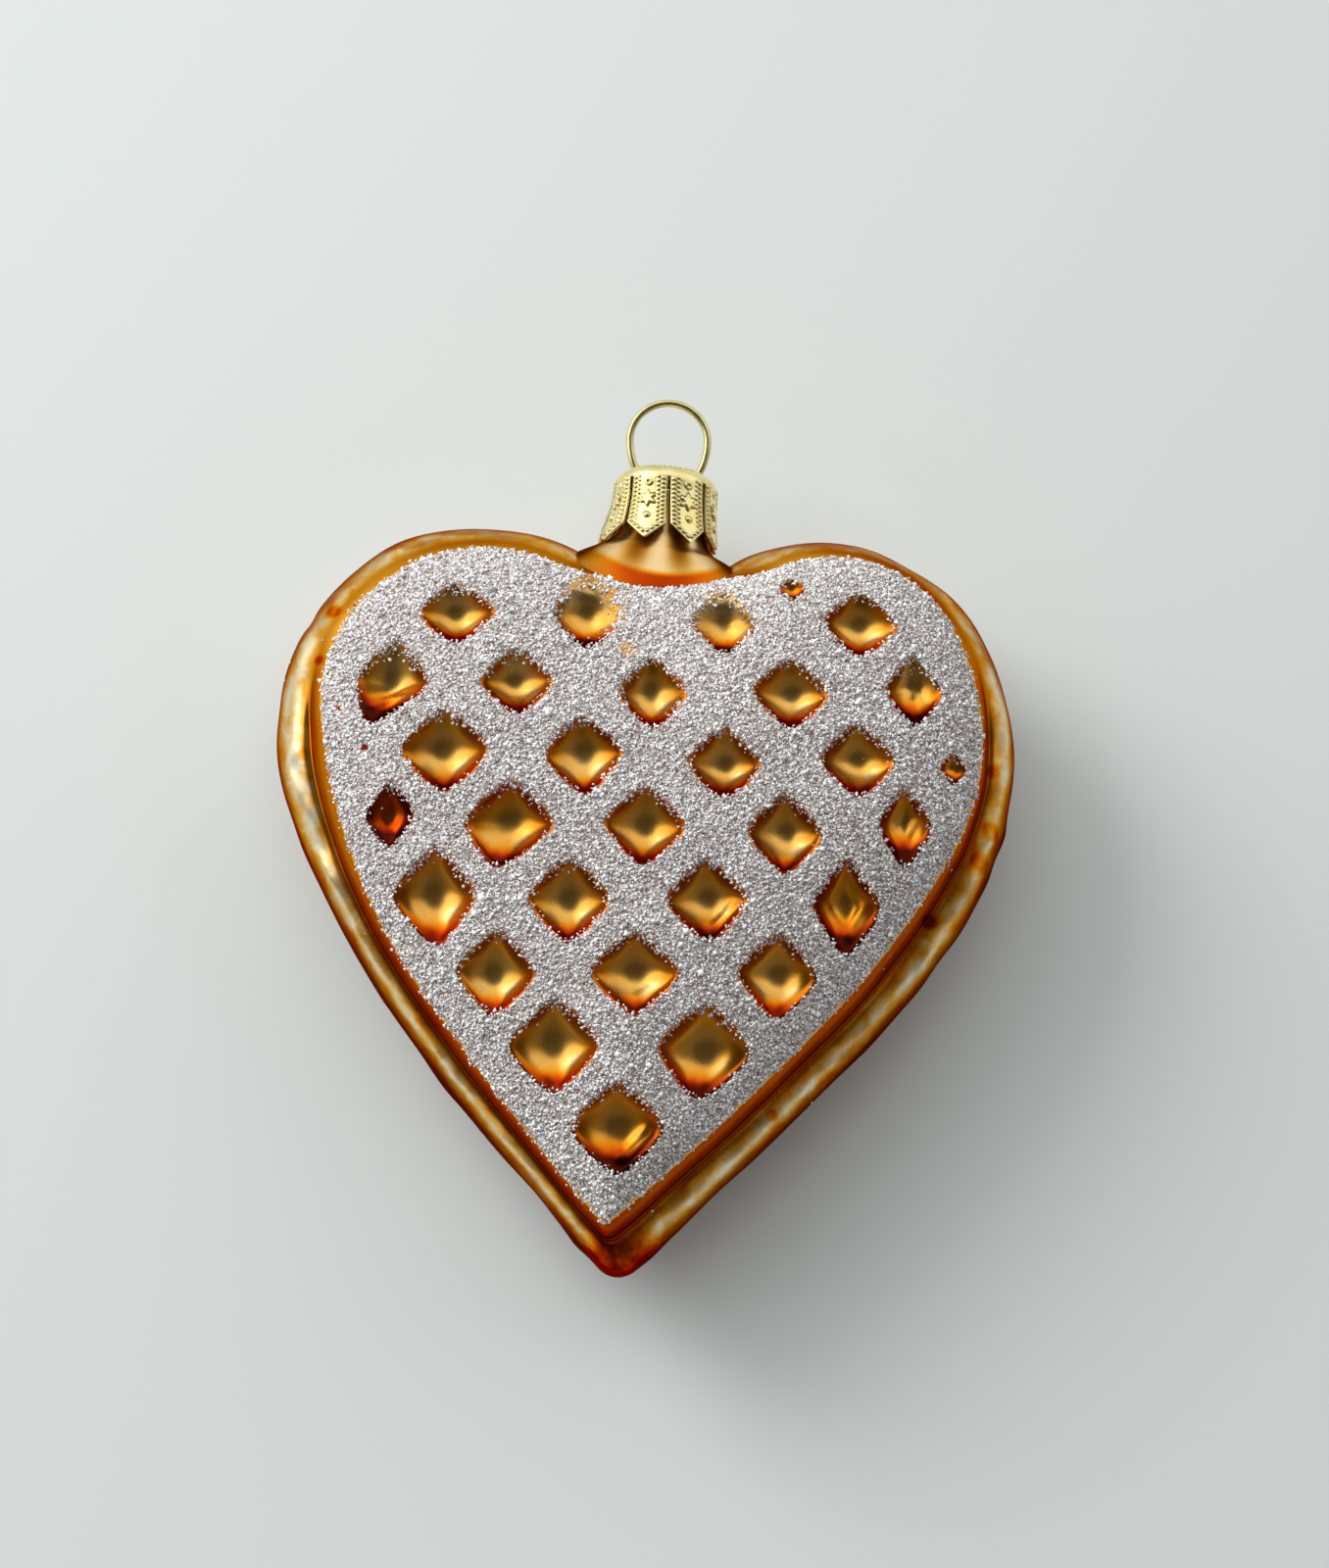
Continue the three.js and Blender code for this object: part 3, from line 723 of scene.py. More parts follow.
# How far painted shade darkens the rim to brown, in the same columns.
RIM_PAINTED_SHADE = np.array((
    (0, 0.85, 0.5, 0.45), (0.03, 0.8, 0.3, 0.4), (0.1, 0.6, 0.15, 0.25), (0.2, 0.25, 0, 0.1),
    (0.28, 0, 0, 0), (0.5, 0, 0, 0), (0.62, 0.1, 0.1, 0.1), (0.75, 0.35, 0.25, 0.2), (1, 0.42, 0.3, 0.25),
))
# Heights between which the column for the sides takes over, and how far it does on the right.
SIDES_START = {"left": (-16, 2), "right": (-4, 14)}
RIGHT_SHARE = 0.7
# Brown spots on the band: x, y, radius, and how much deeper the lacquer is.
SPOTS = (
    (13.4, -30.4, 0.75, 0.35), (37.3, 0.7, 1.2, 0.3), (37.6, 7.2, 0.9, 0.25), (-33.9, 23.6, 0.9, 0.35),
    (-35.4, 18, 0.6, 0.3), (36, -2.8, 1.3, 0.3), (30.5, -9.5, 1, 0.25), (-37, 8, 0.8, 0.2),
    (-33.2, 12.2, 0.6, 0.58), (-30.4, 7.8, 0.7, 0.58),
)
# The lacquer's depth elsewhere, and how much deeper or paler it is in parts of a pocket; the paler
# crescent is a painted highlight.
PLAIN_LACQUER = 0.34
DEEPER = {"floor": 0.07, "edge": 0.16, "low edge": 0.36, "soft low edge": 0.4}
PALER = {"middle": 0.12, "crescent_highlight": 0.2, "faded top": 0.1, "soft sides": 0.2}
# On the neck: how deep its streaks are, a painted shadow of the cap's tabs, how pale it is else, and the
# dark crease at its foot, a curve this far down and this bent.
TAB_SHADOW_LACQUER, NECK_PALER = 0.3, 0.15
CREASE = {"down": 6.4, "bend": 0.042, "width": 8.5, "depth": 0.8, "ends": (1, 2)}
TAB_SHADOW_STREAKS = {"turn": 2.5, "sharpness": 1.5, "starts": (-6.2, -1.8)}
# How strongly painted shade browns the pockets' upper edges, and the neck's streaks and its flanks by the
# cap.
POCKET_PAINTED_SHADE = 0.34
NECK_PAINTED_SHADE = {"tab shadow streaks": 0.8, "flanks": 0.5, "flanks start": (4.5, 8.5)}


def sugar_cover(points, neck):
    """How much sugar lies at points of the glass, from 0 to 1."""
    by_neck = bell(points[:, 0], NECK_FOOT[0], SUGAR_BY_NECK["width"]) * (points[:, 1] > 0)
    limit = 1 + SUGAR_BY_NECK["beyond"] * by_neck
    cover = (1 - ease(limit - 0.015, limit + 0.01, spread(points))) * (1 - neck)
    for number, near, out, _, v in pockets_at(points):
        upper = np.clip(v / np.maximum(out, 0.2), 0, 1) * (1 + FADES["upper"] * (number in FADED))
        faded = np.maximum(upper, FADES["soft"] * (number in SOFT))
        start = SUGAR_STARTS[0] - SUGAR_STARTS[1] * faded
        cover[near] *= ease(start, start + SUGAR_WHOLE[0] + SUGAR_WHOLE[1] * faded, out)
    for x, y, radius, missing in RUBBED:
        gone = missing * (1 - ease(radius * 0.5, radius * 1.2, away(points, x, y)))
        cover *= 1 - gone * (points[:, 2] > 0)
    return cover


def tab_shadow_streaks(own):
    """Painted shadow of the cap's tabs: dark streaks that run down the neck from the gaps between them.
    """
    wave = 0.5 + 0.5 * np.cos(CAP_TABS * np.arctan2(own[:, 0], own[:, 2]) - TAB_SHADOW_STREAKS["turn"])
    return wave ** TAB_SHADOW_STREAKS["sharpness"] * ease(*TAB_SHADOW_STREAKS["starts"], own[:, 1])


def across_rim(points, table):
    """What a table of the rim says at points: low down, up the sides and along the top."""
    height = points[:, 1]
    low, sides, top = look_up(table, rim_share(points))
    left, right = (ease(*SIDES_START[side], height) for side in ("left", "right"))
    found = low + (sides - low) * np.where(points[:, 0] < 0, left, RIGHT_SHARE * right)
    return found + (top - found) * ease(*TOP_STARTS, height)


def near_tip(points):
    return 1 - ease(*TIP_ENDS, away(points, *TIP))


def lacquer_and_painted_light(points, neck):
    """How thick the amber lacquer lies, from 0 where it is pearly to 1 where it is nearly black, with
    painted highlight and painted shadow worked in.
    """
    depth = np.full(len(points), PLAIN_LACQUER)
    for number, near, out, u, v in pockets_at(points):
        soft = number in SOFT
        reach = np.maximum(out, 0.2)
        down, side = np.clip(-v / reach, 0, 1), np.clip(abs(u) / reach, 0, 1)
        inside = 1 - ease(1.0, 1.3, out)
        # A painted highlight: thinner, paler lacquer in a crescent below a pocket's middle, stronger on
        # its right.
        crescent_highlight = bell(out, 0.6, 0.2) * ease(0, 0.3, -v) * ease(0.15, 0.5, side) * (0.9 + 0.5 * (u > 0))
        floor = DEEPER["floor"] - PALER["middle"] * bell(out, 0, 0.4) - PALER["crescent_highlight"] * crescent_highlight
        depth[near] += inside * (floor - PALER["faded top"] * (number in FADED) * ease(0, 0.6, v))
        low_edge = DEEPER["low edge"] * ease(0.35, 0.8, out)
        low_edge += DEEPER["soft low edge"] * soft * ease(0.2, 0.5, out)
        depth[near] += inside * (DEEPER["edge"] * ease(0.45, 0.95, out) + low_edge * down ** 2)
        depth[near] -= inside * PALER["soft sides"] * soft * ease(0.4, 0.8, out) * (1 - down)
        lower, everywhere = STAINED.get(number, (0, 0))
        depth[near] += (1 - ease(0.85, 1.2, out)) * (everywhere + lower * ease(0, 0.5, -v))
    beyond = spread(points) > 1
    outside = beyond & (neck == 0)
    # The rim's lacquer, with its painted highlight and painted shade.
    depth[outside] = across_rim(points, RIM_LACQUER_AND_LIGHT)[outside]
    for x, y, radius, amount in SPOTS:
        depth += amount * (1 - ease(radius * 0.6, radius * 1.1, away(points, x, y)))
    own = to_neck(points)
    # Painted shadow of the cap's tabs: streaks of deeper lacquer down the neck.
    depth += neck * (TAB_SHADOW_LACQUER * tab_shadow_streaks(own) - NECK_PALER)
    above_crease = own[:, 1] + CREASE["down"] - CREASE["bend"] * own[:, 0] ** 2
    stain = (1 - ease(*CREASE["ends"], above_crease)) * bell(own[:, 0], 0, CREASE["width"])
    depth += neck * stain * (CREASE["depth"] - np.minimum(depth, CREASE["depth"]))
    return depth + near_tip(points) * (TIP_LACQUER - np.minimum(depth, TIP_LACQUER)) * beyond


def painted_shade_share(points, neck):
    """Painted shade: how far the glass is browned at its edges, in the shade of the cap and at the
    pockets' upper edges.
    """
    painted_shade = np.zeros(len(points))
    for _, near, out, _, v in pockets_at(points):
        down = np.clip(-v / np.maximum(out, 0.2), 0, 1)
        painted_shade[near] += ease(0.3, 0.9, out) * (1 - ease(1, 1.3, out)) * POCKET_PAINTED_SHADE * (1 - down)
    outside = (spread(points) > 1) & (neck == 0)
    painted_shade[outside] = (across_rim(points, RIM_PAINTED_SHADE) * (1 - near_tip(points)))[outside]
    own = to_neck(points)
    flanks = NECK_PAINTED_SHADE["flanks"] * ease(*NECK_PAINTED_SHADE["flanks start"], abs(own[:, 0]))
    painted_shade += neck * (NECK_PAINTED_SHADE["tab shadow streaks"] * tab_shadow_streaks(own) + flanks)
    return np.clip(painted_shade, 0, 1)


def band_mask(points, neck):
    """1 on the pearly band between the seam and the shoulder."""
    across = rim_share(points)
    return ease(0.03, 0.1, across) * (1 - ease(0.55, 0.72, across)) * (1 - neck) * (spread(points) > 1)


def glass_heart():
    heart = glass_body()
    combine(heart, glass_neck(), "UNION")
    shade_smooth(heart)
    points = points_of(heart)
    neck = on_neck(points).astype(float)
    fields = {"sugar": sugar_cover, "lacquer_and_light": lacquer_and_painted_light, "painted_shade": painted_shade_share, "band": band_mask}
    for name, field in fields.items():
        keep_field(heart, name, field(points, neck))
    return heart


# ---- the cap ----

# The cap's section from its middle out to where the slots start: radius and height.
CAP_KNOTS = np.array([(0.001, CAP_TOP), (CAP_RADIUS - CAP_SHOULDER, CAP_TOP)] + [
    (CAP_RADIUS - CAP_SHOULDER + bend[0], SHOULDER_LOW + bend[1])
    for bend in (way(math.radians(turn)) * CAP_SHOULDER for turn in range(80, -1, -10))
])
CAP_GONE = np.concatenate(([0], np.cumsum(length(np.diff(CAP_KNOTS, axis=0)))))


def cap_at(height):
    """Radius of the cap's outside at a height on its shoulder or skirt."""
    radii, heights = CAP_KNOTS[:0:-1].T
    return np.where(height < SHOULDER_LOW, CAP_RADIUS, np.interp(height, heights, radii))


def tab_relief(across, up):
    """Height of the pattern stamped in a tab: beads, a ring and a star."""
    relief = np.zeros(len(across))
    for x, y, radius, height in TAB_BEADS:
        off = np.hypot(across - x, up - y) / radius
        relief = np.maximum(relief, height * np.sqrt(np.clip(1 - off ** 2, 0, 1)))
    off_ring = abs(np.hypot(across, up - TAB_RING["up"]) - TAB_RING["radius"]) / TAB_RING["half"]
    relief = np.maximum(relief, TAB_RING["height"] * np.clip(1 - off_ring, 0, 1) ** 0.6)
    from_star = up - TAB_STAR["up"]
    turn = np.arctan2(across, from_star) / (math.tau / TAB_STAR["rays"])
    corner = abs((turn + 0.5) % 1 - 0.5) * 2
    inside = TAB_STAR["reach"] - TAB_STAR["notch"] * corner - np.hypot(across, from_star)
    relief = np.maximum(relief, TAB_STAR["height"] * np.clip(inside / TAB_STAR["flank"], 0, 1))
    return relief - STAR_GROOVE["depth"] * bell(inside, STAR_GROOVE["off"], STAR_GROOVE["half"])


def spread_tabs(points):
    """Bends the tabs outwards towards their points, most of all on the left."""
    down = np.clip((SLOT_TOP - points[:, 1]) / (SLOT_TOP - CAP_BOTTOM), 0, 1)
    to_right = (1 + points[:, 0] / CAP_RADIUS) / 2
    flare = CAP_FLARE["left"] + (CAP_FLARE["right"] - CAP_FLARE["left"]) * to_right
    stretch = 1 + flare * down ** 2 / CAP_RADIUS
    twist = math.radians(CAP_TWIST) * down
    x, y, z = points.T
    turned_x = x * np.cos(twist) + z * np.sin(twist)
    turned_z = z * np.cos(twist) - x * np.sin(twist)
    return np.column_stack((turned_x * stretch, y, turned_z * stretch))


def crown_cap():
    """A stamped sheet: a crown of rings with a tab hanging from each eighth of it."""
    tab_turn = math.tau / CAP_TABS
    tab_half = tab_turn / 2 - math.asin(SLOT_WIDTH / 2 / CAP_RADIUS)
    tab_turns = np.linspace(-tab_half, tab_half, TAB_COLUMNS + 1)
    slot_turns = np.linspace(tab_half, tab_turn - tab_half, SLOT_COLUMNS + 1)[1:-1]
    eighth = np.concatenate((tab_turns, slot_turns))
    starts = math.radians(CAP_TURN) + tab_turn * (np.arange(CAP_TABS) + 0.5)
    turns = (starts[:, None] + eighth).ravel()
    across = np.tile(eighth, CAP_TABS) * CAP_RADIUS
    teeth = BEAD_GAP + (1 - BEAD_GAP) * abs(np.cos(turns * BEADS / 2)) ** BEAD_ROUNDNESS
    slot_gone = np.interp(-SLOT_TOP, -CAP_KNOTS[1:, 1], CAP_GONE[1:])
    plain = np.linspace(0.4, BEAD_RADIUS - 0.5, PLAIN_RINGS)
    rows = []
    for gone in (*plain, *np.arange(BEAD_RADIUS - 0.4, slot_gone, CROWN_STEP), slot_gone):
        radius, height = look_up(np.column_stack((CAP_GONE, CAP_KNOTS)), gone)
        bead = np.sqrt(np.clip(1 - ((radius - BEAD_RADIUS) / BEAD_HALF) ** 2, 0, 1))
        out = radius + tab_relief(across, np.full(len(turns), height))
        lifted = height + BEAD_HEIGHT * bead * teeth
        rows.append(np.column_stack((out * np.sin(turns), lifted, out * np.cos(turns))))
    here = np.arange(len(turns))
    after = (here + 1) % len(turns)
    fan = np.column_stack((np.zeros(len(turns), int), 1 + here, 1 + after))
    edge = 1 + (len(rows) - 1) * len(turns)
    quads = []
    for low in range(1, edge, len(turns)):
        high = low + len(turns)
        quads.append(np.column_stack((low + here, high + here, high + after, low + after)))
    points = [[(0, CAP_TOP, 0)], *rows]
    total = edge + len(turns)
    bottom = CAP_BOTTOM + TAB_LIFT + POINT_HEIGHT * abs(tab_turns) / tab_half
    for k, start in enumerate(starts):
        angle = start + tab_turns
        top = edge + k * len(eighth) + np.arange(len(tab_turns))
        for row in range(1, TAB_ROWS + 1):
            height = SLOT_TOP + (bottom - SLOT_TOP) * row / TAB_ROWS
            out = cap_at(height) + tab_relief(tab_turns * CAP_RADIUS, height)
            points.append(np.column_stack((out * np.sin(angle), height, out * np.cos(angle))))
            under = total + np.arange(len(tab_turns))
            quads.append(np.column_stack((top[:-1], under[:-1], under[1:], top[1:])))
            top = under
            total += len(under)
    quads = np.vstack(quads)
    return np.vstack(points), np.vstack((fan, quads[:, (0, 1, 2)], quads[:, (0, 2, 3)]))


def hollow_shade(thing):
    """How deep each point of a mesh lies among its neighbours, from 0 to 1, which sets the painted shade
    in its hollows.
    """
    mesh = thing.data
    ends = read(mesh.edges, "vertices", 2, np.int32)
    normals = read(mesh.vertices, "normal", 3)
    points = points_of(thing)
    total, number = np.zeros_like(points), np.zeros(len(points))
    for here, other in (ends.T, ends.T[::-1]):
        np.add.at(total, here, points[other])
        np.add.at(number, here, 1)
    rise = ((total / np.maximum(number, 1)[:, None] - points) * normals).sum(1)
    return np.clip((rise - HOLLOW_SHADE_FROM) / HOLLOW_SHADE_RANGE, 0, 1)


def loop_hole(side):
    """A short rod where a leg of the wire goes through the cap."""
    turns = circle(HOLE_SIDES)
    x, z = side * LOOP_FOOT + HOLE_RADIUS * np.cos(turns), -HOLE_RADIUS * np.sin(turns)
    heights = (CAP_TOP - HOLE_REACH, CAP_TOP + HOLE_REACH)
    rings = [np.column_stack((x, np.full(HOLE_SIDES, height), z)) for height in heights]
    return neck_piece("hole", *loft(rings, *((side * LOOP_FOOT, height, 0) for height in heights)))


def cap_piece():
    points, faces = crown_cap()
    cap = neck_piece("crown_cap_stamped", spread_tabs(points), faces)
    sheet = cap.modifiers.new("sheet", "SOLIDIFY")
    sheet.thickness = CAP_SHEET * MM
    sheet.offset = -1
    apply_changes(cap)
    for side in (-1, 1):
        combine(cap, loop_hole(side), "DIFFERENCE")
    shade_smooth(cap)
    keep_field(cap, "hollow_shade", hollow_shade(cap))
    return cap


# ---- the wire loop ----


def loop_piece():
    start = -math.degrees(math.asin((LOOP_CENTRE - CAP_TOP) / LOOP_LOWER))
    bow = []
    for turn in np.linspace(start, 180 - start, 41):
        at = way(math.radians(turn))
        reach = LOOP_UPPER if at[1] > 0 else LOOP_LOWER
        bow.append((LOOP_HALF_WIDTH * at[0], LOOP_CENTRE + reach * at[1]))
    knots = [(bow[0][0], LOOP_END), *bow, (bow[-1][0], LOOP_END)]
    line = smooth_through(knots, LOOP_STEPS)
    turns = circle(LOOP_SIDES)
    rings = []
    for point, ahead in zip(line, unit(np.gradient(line, axis=0))):
        normal = np.array((ahead[1], -ahead[0]))
        flat = point + np.cos(turns)[:, None] * normal * WIRE / 2
        rings.append(np.column_stack((flat, np.sin(turns) * WIRE / 2)))
    points, faces = loft(rings, (*line[0], 0), (*line[-1], 0))
    lean = np.array(Matrix.Rotation(math.radians(LOOP_LEAN), 3, "Z"))
    top = np.array((0, CAP_TOP, 0))
    loop = neck_piece("hanging_loop_wire", (points - top) @ lean.T + top, faces)
    shade_smooth(loop)
    return loop


# ---- the sugar ----

# How far out a grain's corners lie at a size of 2, and shares that grains are stretched and sunk by.
GRAIN_REACH = 1.2
GRAIN_STRETCH = (0.75, 1.25)
GRAIN_SUNK = 0.12
TETRA = (
    np.array(((1, 1, 1), (1, -1, -1), (-1, 1, -1), (-1, -1, 1))) / math.sqrt(3) * GRAIN_REACH,
    np.array(((0, 1, 2), (0, 3, 1), (0, 2, 3), (1, 3, 2))),
)
OCTA = (
    np.array(((1, 0, 0), (-1, 0, 0), (0, 1, 0), (0, -1, 0), (0, 0, 1), (0, 0, -1))) * GRAIN_REACH,
    np.array(((0, 2, 4), (2, 1, 4), (1, 3, 4), (3, 0, 4), (2, 0, 5), (1, 2, 5), (3, 1, 5), (0, 3, 5))),
)


def random_turns(count):
    """Evenly random rotations, from random quaternions."""
    w, x, y, z = unit(rng.normal(size=(count, 4))).T
    return np.stack((
        np.stack((1 - 2 * (y * y + z * z), 2 * (x * y - w * z), 2 * (x * z + w * y)), -1),
        np.stack((2 * (x * y + w * z), 1 - 2 * (x * x + z * z), 2 * (y * z - w * x)), -1),
        np.stack((2 * (x * z - w * y), 2 * (y * z + w * x), 1 - 2 * (x * x + y * y)), -1),
    ), -2)


class Skin:
    """The glass's triangles, to scatter grains on."""

    def __init__(self, heart):
        heart.data.calc_loop_triangles()
        corners = read(heart.data.loop_triangles, "vertices", 3, np.int32)
        self.triangles = points_of(heart)[corners]
        a, b, c = self.triangles.swapaxes(0, 1)
        cross = np.cross(b - a, c - a)
        self.areas = length(cross) / 2
        self.normals = cross / np.maximum(self.areas * 2, 1e-12)[:, None]
        cover = read(heart.data.attributes["sugar"].data, "value", 1)[:, 0].astype(float)
        self.cover = cover[corners].mean(1)
        self.in_front = (a + b + c)[:, 2] > 0

    def scatter(self, weights, count):
        """count random places, and the glass's direction there."""
        at = rng.choice(len(weights), count, p=weights / weights.sum())
        shares = rng.dirichlet((1, 1, 1), count)
        return (self.triangles[at] * shares[:, :, None]).sum(1), self.normals[at]


def grains(name, spots, outward, sizes, shape, finishes, odds):
    """One piece of many small crystals, each turned at random and sunk a little into the glass."""
    count = len(spots)
    shape, faces = shape
    stretch = rng.uniform(*GRAIN_STRETCH, (count, 1, 3))
    corners = shape[None] * stretch * sizes[:, None, None] / 2
    corners = np.einsum("nij,nkj->nki", random_turns(count), corners)
    corners += (spots + outward * (sizes * GRAIN_SUNK)[:, None])[:, None]
    points = place(corners.reshape(-1, 3))
    points[:, 2] = np.maximum(points[:, 2], 0)
    all_faces = (faces[None] + len(shape) * np.arange(count)[:, None, None]).reshape(-1, 3)
    piece = mesh_object(name, points, all_faces)
    for finish in finishes:
        piece.data.materials.append(finish)
    pick = np.repeat(rng.choice(len(finishes), count, p=odds), len(faces))
    piece.data.polygons.foreach_set("material_index", pick.astype(np.int32))
    return piece


# ---- finishes ----


class Term:
    """A socket whose value can be added, multiplied and so on, which adds Math nodes."""

    def __init__(self, finish, socket):
        self.finish = finish
        self.socket = socket

    def __add__(self, other):
        return self.finish.math("ADD", self, other)

    def __radd__(self, other):
        return self.finish.math("ADD", other, self)

    def __sub__(self, other):
        return self.finish.math("SUBTRACT", self, other)

    def __rsub__(self, other):
        return self.finish.math("SUBTRACT", other, self)

    def __mul__(self, other):
        return self.finish.math("MULTIPLY", self, other)

    def __rmul__(self, other):
        return self.finish.math("MULTIPLY", other, self)


class Finish:
    """A material, or the world, put together from nodes."""

    def __init__(self, owner, last):
        owner.use_nodes = True
        self.owner = owner
        self.tree = owner.node_tree
        self.tree.nodes.clear()
        self.last = self.tree.nodes.new("ShaderNode" + last)

    def node(self, kind, settings=(), inputs=(), output=0):
        """Adds a node, sets it up, fills its sockets and returns one of its outputs."""
        made = self.tree.nodes.new("ShaderNode" + kind)
        for name, value in dict(settings).items():
            if name == "stops":
                stops = made.color_ramp.elements
                for k, (position, colour) in enumerate(value):
                    stop = stops[k] if k < 2 else stops.new(position)
                    stop.position = position
                    stop.color = (*colour, 1)
            else:
                setattr(made, name, value)
        for name, value in dict(inputs).items():
            self.fill(made.inputs[name], value)
        return Term(self, made.outputs[output])

    def fill(self, socket, value):
        if isinstance(value, Term):
            self.tree.links.new(value.socket, socket)
        elif socket.type == "RGBA":
            socket.default_value = (*value, 1)
        else:
            socket.default_value = value

    def math(self, operation, a, b):
        return self.node("Math", {"operation": operation}, {0: a, 1: b})

    def field(self, name):
        return self.node("Attribute", {"attribute_name": name}, output="Fac")

    def spots(self, size, detail=2.0, roughness=0.5, distortion=0.0):
        """Soft noise from 0 to 1 with blotches about size millimetres wide."""
        where = self.node("TexCoord", output="Object")
        inputs = {"Vector": where, "Scale": 0.6 / (size * MM), "Detail": detail}
        inputs |= {"Roughness": roughness, "Distortion": distortion}
        return self.node("TexNoise", {}, inputs, "Fac")

    def ramp(self, value, stops):
        return self.node("ValToRGB", {"stops": stops}, {"Fac": value})

    def step(self, value, low, high):
        """0 below low and 1 above high, smoothly."""
        inputs = {"Value": value, "From Min": low, "From Max": high}
        return self.node("MapRange", {"interpolation_type": "SMOOTHSTEP"}, inputs)

    def mix(self, share, a, b):
        return self.node("Mix", {"data_type": "RGBA"}, {0: share, 6: a, 7: b}, 2)

    def bump(self, height, strength, distance):
        inputs = {"Height": height, "Strength": strength, "Distance": distance * MM}
        return self.node("Bump", {}, inputs)

    def shade(self, **inputs):
        """The Principled shader, linked to the material's output."""
        names = {name.replace("_", " ").title(): value for name, value in inputs.items()}
        shader = self.node("BsdfPrincipled", {}, names)
        self.tree.links.new(shader.socket, self.last.inputs["Surface"])
        return self.owner


def new_finish(name):
    return Finish(bpy.data.materials.new(name), "OutputMaterial")


# The lacquer's colours by its depth, and the sugar's between dark and light grains, its darkest being
# painted shade in the gaps.
LACQUER = (
    (0, (0.96, 0.86, 0.62)), (0.14, (0.93, 0.7, 0.38)), (0.3, (0.88, 0.47, 0.1)),
    (0.46, (0.82, 0.31, 0.015)), (0.6, (0.78, 0.16, 0.005)), (0.74, (0.56, 0.06, 0.003)),
    (0.87, (0.28, 0.014, 0.002)), (1, (0.07, 0.006, 0.002)),
)
FROST_AND_GAP_SHADE = (
    (0.32, (0.14, 0.05, 0.035)), (0.45, (0.36, 0.29, 0.26)), (0.6, (0.68, 0.65, 0.63)),
    (0.78, (0.88, 0.87, 0.86)),
)
# The brown of the painted shade.
PAINTED_SHADE_COLOUR = (0.14, 0.045, 0.006)
BRASS = ((0.3, (0.92, 0.73, 0.28)), (0.55, (0.97, 0.84, 0.4)), (0.8, (1, 0.91, 0.52)))
# The brown of the painted shade in the cap's stamped hollows.
BRASS_HOLLOW_SHADE = (0.2, 0.1, 0.02)
WIRE_BRASS = ((0.3, (0.66, 0.56, 0.25)), (0.7, (0.82, 0.72, 0.36)))


def lacquered_glass():
    f = new_finish("lacquered_glass")
    sugar, lacquer_and_light, painted_shade, band = (f.field(name) for name in ("sugar", "lacquer_and_light", "painted_shade", "band"))
    uneven = f.spots(3.0, 3.0)
    fine = f.spots(0.35)
    mottle = (f.spots(1.5, 4.0, 0.62, 0.5) - 0.5) * band
    depth = lacquer_and_light + (uneven - 0.5) * 0.14 + (fine - 0.5) * 0.04 + mottle * 0.9
    # Painted shade browns the colour at the rim's edges, at the pockets' upper edges and on the neck.
    colour = f.mix(painted_shade, f.ramp(depth, LACQUER), PAINTED_SHADE_COLOUR)
    frost_and_gap_shade = f.ramp(f.spots(0.22, 3.0, 0.7), FROST_AND_GAP_SHADE)
    dust = f.step(sugar + (f.spots(0.4, 4.0, 0.75) - 0.5) * 1.3, 0.5, 0.75)
    colour = f.mix(dust, colour, frost_and_gap_shade)
    satin = 0.27 + (fine - 0.5) * 0.06 + band * 0.02 + painted_shade * 0.2
    clear = 1 - f.step(lacquer_and_light, 0.1, 0.4)
    return f.shade(
        base_color=colour,
        metallic=1 - dust * 0.85,
        roughness=satin + dust * 0.4,
        coat_weight=0.15 * (1 - dust) * clear,
        coat_roughness=0.15,
        specular_tint=(0.36, 0.10, 0.03),
        normal=f.bump(f.spots(0.12) * 0.12 + fine * 0.25 + dust * f.spots(0.25), 0.25, 0.1),
    )


def stamped_brass():
    f = new_finish("stamped_brass")
    wear = f.spots(1.2, 4.0)
    fine = f.spots(0.18, 3.0)
    colour = f.ramp(wear, BRASS)
    return f.shade(
        base_color=f.mix(f.field("hollow_shade") * 0.8, colour, BRASS_HOLLOW_SHADE),
        metallic=1.0,
        roughness=0.14 + wear * 0.12,
        normal=f.bump(fine, 0.15, 0.04),
    )


def spring_wire():
    f = new_finish("spring_wire")
    drawn = f.spots(0.5, 3.0)
    colour = f.ramp(drawn, WIRE_BRASS)
    rough = 0.2 + drawn * 0.1
    return f.shade(base_color=colour, metallic=1.0, roughness=rough, normal=f.bump(drawn, 0.1, 0.03))


def sugar_crystal(name, colour, roughness, metallic):
    return new_finish(name).shade(
        base_color=colour, roughness=roughness, metallic=metallic, coat_weight=0.3, coat_roughness=0.1,
    )


# ---- the ornament ----


def wear(thing, finish):
    thing.data.materials.clear()
    thing.data.materials.append(finish)


heart = glass_heart()
wear(heart, lacquered_glass())
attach(heart, "root")
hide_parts("glass_waffle_heart")

cap = cap_piece()
wear(cap, stamped_brass())
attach(cap, "root")
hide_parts("crown_cap")

loop = loop_piece()
wear(loop, spring_wire())
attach(loop, "root")
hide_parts("hanging_loop")

SUGAR = [
    sugar_crystal("sugar_white", (0.93, 0.93, 0.92), 0.35, 0.0),
    sugar_crystal("sugar_lilac", (0.74, 0.71, 0.73), 0.3, 0.1),
    sugar_crystal("sugar_shade", (0.46, 0.4, 0.38), 0.3, 0.2),
    sugar_crystal("sugar_clear", (0.98, 0.98, 0.97), 0.12, 0.6),
]
skin = Skin(heart)
# Name, side, number of grains, their size and how much it varies, shape, and how many in each finish.
SUGAR_LAYERS = (
    ("sugar_front_fine", skin.in_front, 48000, 0.3, 0.28, TETRA, (0.42, 0.24, 0.26, 0.08)),
    ("sugar_front_coarse", skin.in_front, 9000, 0.27, 0.3, OCTA, (0.5, 0.2, 0.1, 0.2)),
    ("sugar_back_fine", ~skin.in_front, 40000, 0.33, 0.28, TETRA, (0.42, 0.24, 0.26, 0.08)),
)
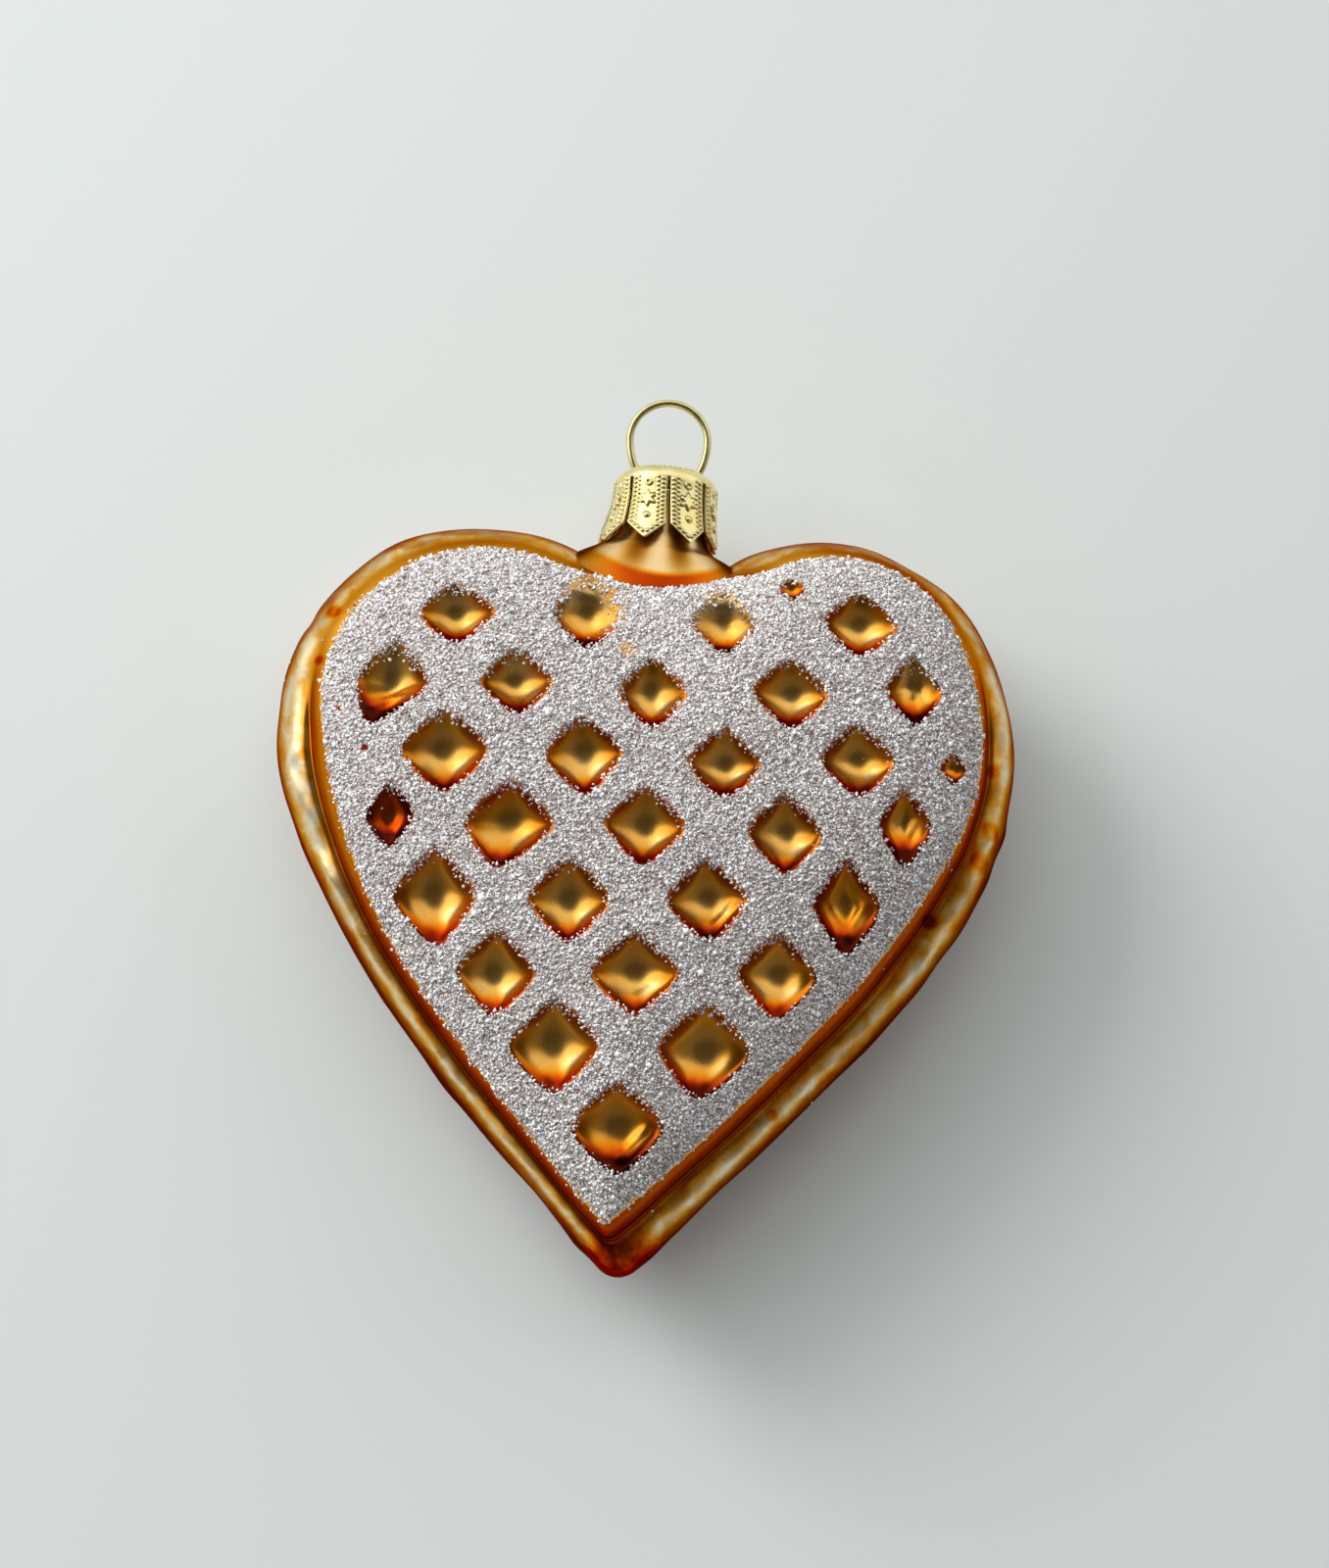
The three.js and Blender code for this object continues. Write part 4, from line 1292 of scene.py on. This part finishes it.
# How strongly grains keep to where the cover is full, and the few that stray anywhere.
CROWDING, STRAYS = 1.2, 0.0002
for name, side, count, size, vary, shape, odds in SUGAR_LAYERS:
    spots, outward = skin.scatter(skin.areas * side * (skin.cover ** CROWDING + STRAYS), count)
    sizes = size * np.exp(rng.normal(size=count) * vary)
    piece = grains(name, spots, outward, sizes, shape, SUGAR, odds)
    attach(piece, "root")

# ---- floor, light and camera ----

FLOOR = 4.0
CORNERS = np.array(((-1, -1, 0), (1, -1, 0), (1, 1, 0), (-1, 1, 0)))
floor = mesh_object("floor", CORNERS * FLOOR, np.array(((0, 1, 2, 3),)))
wear(floor, new_finish("pale_floor").shade(base_color=(0.63, 0.66, 0.655), roughness=0.9))

# The camera looks at a place from a distance, in millimetres, leaning left and down by angles.
TARGET = np.array((2.2, 6.2, 0))
DISTANCE = 460
LEANS = (4, 11)
TOWARDS = unit(np.array([[*(-math.tan(math.radians(lean)) for lean in LEANS), 1]]))[0]


def aim(thing, position, target):
    """Puts a camera or a light at a position, in metres, pointing at a target, with +Y up."""
    back = (Vector(position) - Vector(target)).normalized()
    right = Vector((0, 1, 0)).cross(back).normalized()
    up = back.cross(right)
    thing.matrix_world = Matrix.Translation(position) @ Matrix((right, up, back)).transposed().to_4x4()


camera = bpy.data.objects.new("camera", bpy.data.cameras.new("camera"))
bpy.context.scene.collection.objects.link(camera)
camera.data.sensor_width = 36
camera.data.lens = 97.0
camera.data.clip_start = 0.01
camera.data.clip_end = 20
aim(camera, place(TARGET + TOWARDS * DISTANCE), place(TARGET))
bpy.context.scene.camera = camera


def softbox(name, position, size, watts, mirrored=True):
    """A square lamp aimed at the ornament. Without mirrored, it only lights what is matt."""
    lamp = bpy.data.lights.new(name, "AREA")
    lamp.shape = "SQUARE"
    lamp.size = size
    lamp.energy = watts
    thing = bpy.data.objects.new(name, lamp)
    bpy.context.scene.collection.objects.link(thing)
    thing.visible_glossy = mirrored
    aim(thing, position, (0, 0, 0))


softbox("key", (-0.48, 0.37, 0.36), 0.34, 3.4, False)
softbox("overhead", (-0.1, 0.22, 0.9), 0.7, 2.3, False)
softbox("glint", (-0.66, 0.62, 0.5), 0.12, 0.2)

# The room, as it shows in the glass: directions, where each begins and is full, and brightness.
LOBES = (
    ((0, 0.78, 0.62), 0.55, 0.97, 1.05),
    ((-0.76, 0.5, 0.42), 0.76, 0.93, 1.9),
    ((0.68, 0.6, 0.42), 0.82, 0.95, 1.0),
    ((-0.06, -0.1, 0.993), 0.7, 0.92, 0.06),
)
# Its walls by how far up a direction points.
SKY = ((0, (0.54, 0.545, 0.55)), (0.4, (0.22, 0.225, 0.225)), (0.9, (0.12, 0.122, 0.12)))
world = bpy.data.worlds.new("room")
bpy.context.scene.world = world
w = Finish(world, "OutputWorld")
look = w.node("TexCoord", output="Generated")
way_up = w.node("SeparateXYZ", {}, {"Vector": look}, "Z")
sky = w.ramp(way_up, SKY)
for towards, begins, full, bright in LOBES:
    facing = w.node("VectorMath", {"operation": "DOT_PRODUCT"}, {0: look, 1: towards}, "Value")
    sky = w.mix(w.step(facing, begins, full), sky, (bright, bright * 1.02, bright))
room = w.node("Background", {}, {"Color": sky, "Strength": 1.0})
w.tree.links.new(room.socket, w.last.inputs["Surface"])

bpy.context.scene.view_settings.view_transform = "Standard"
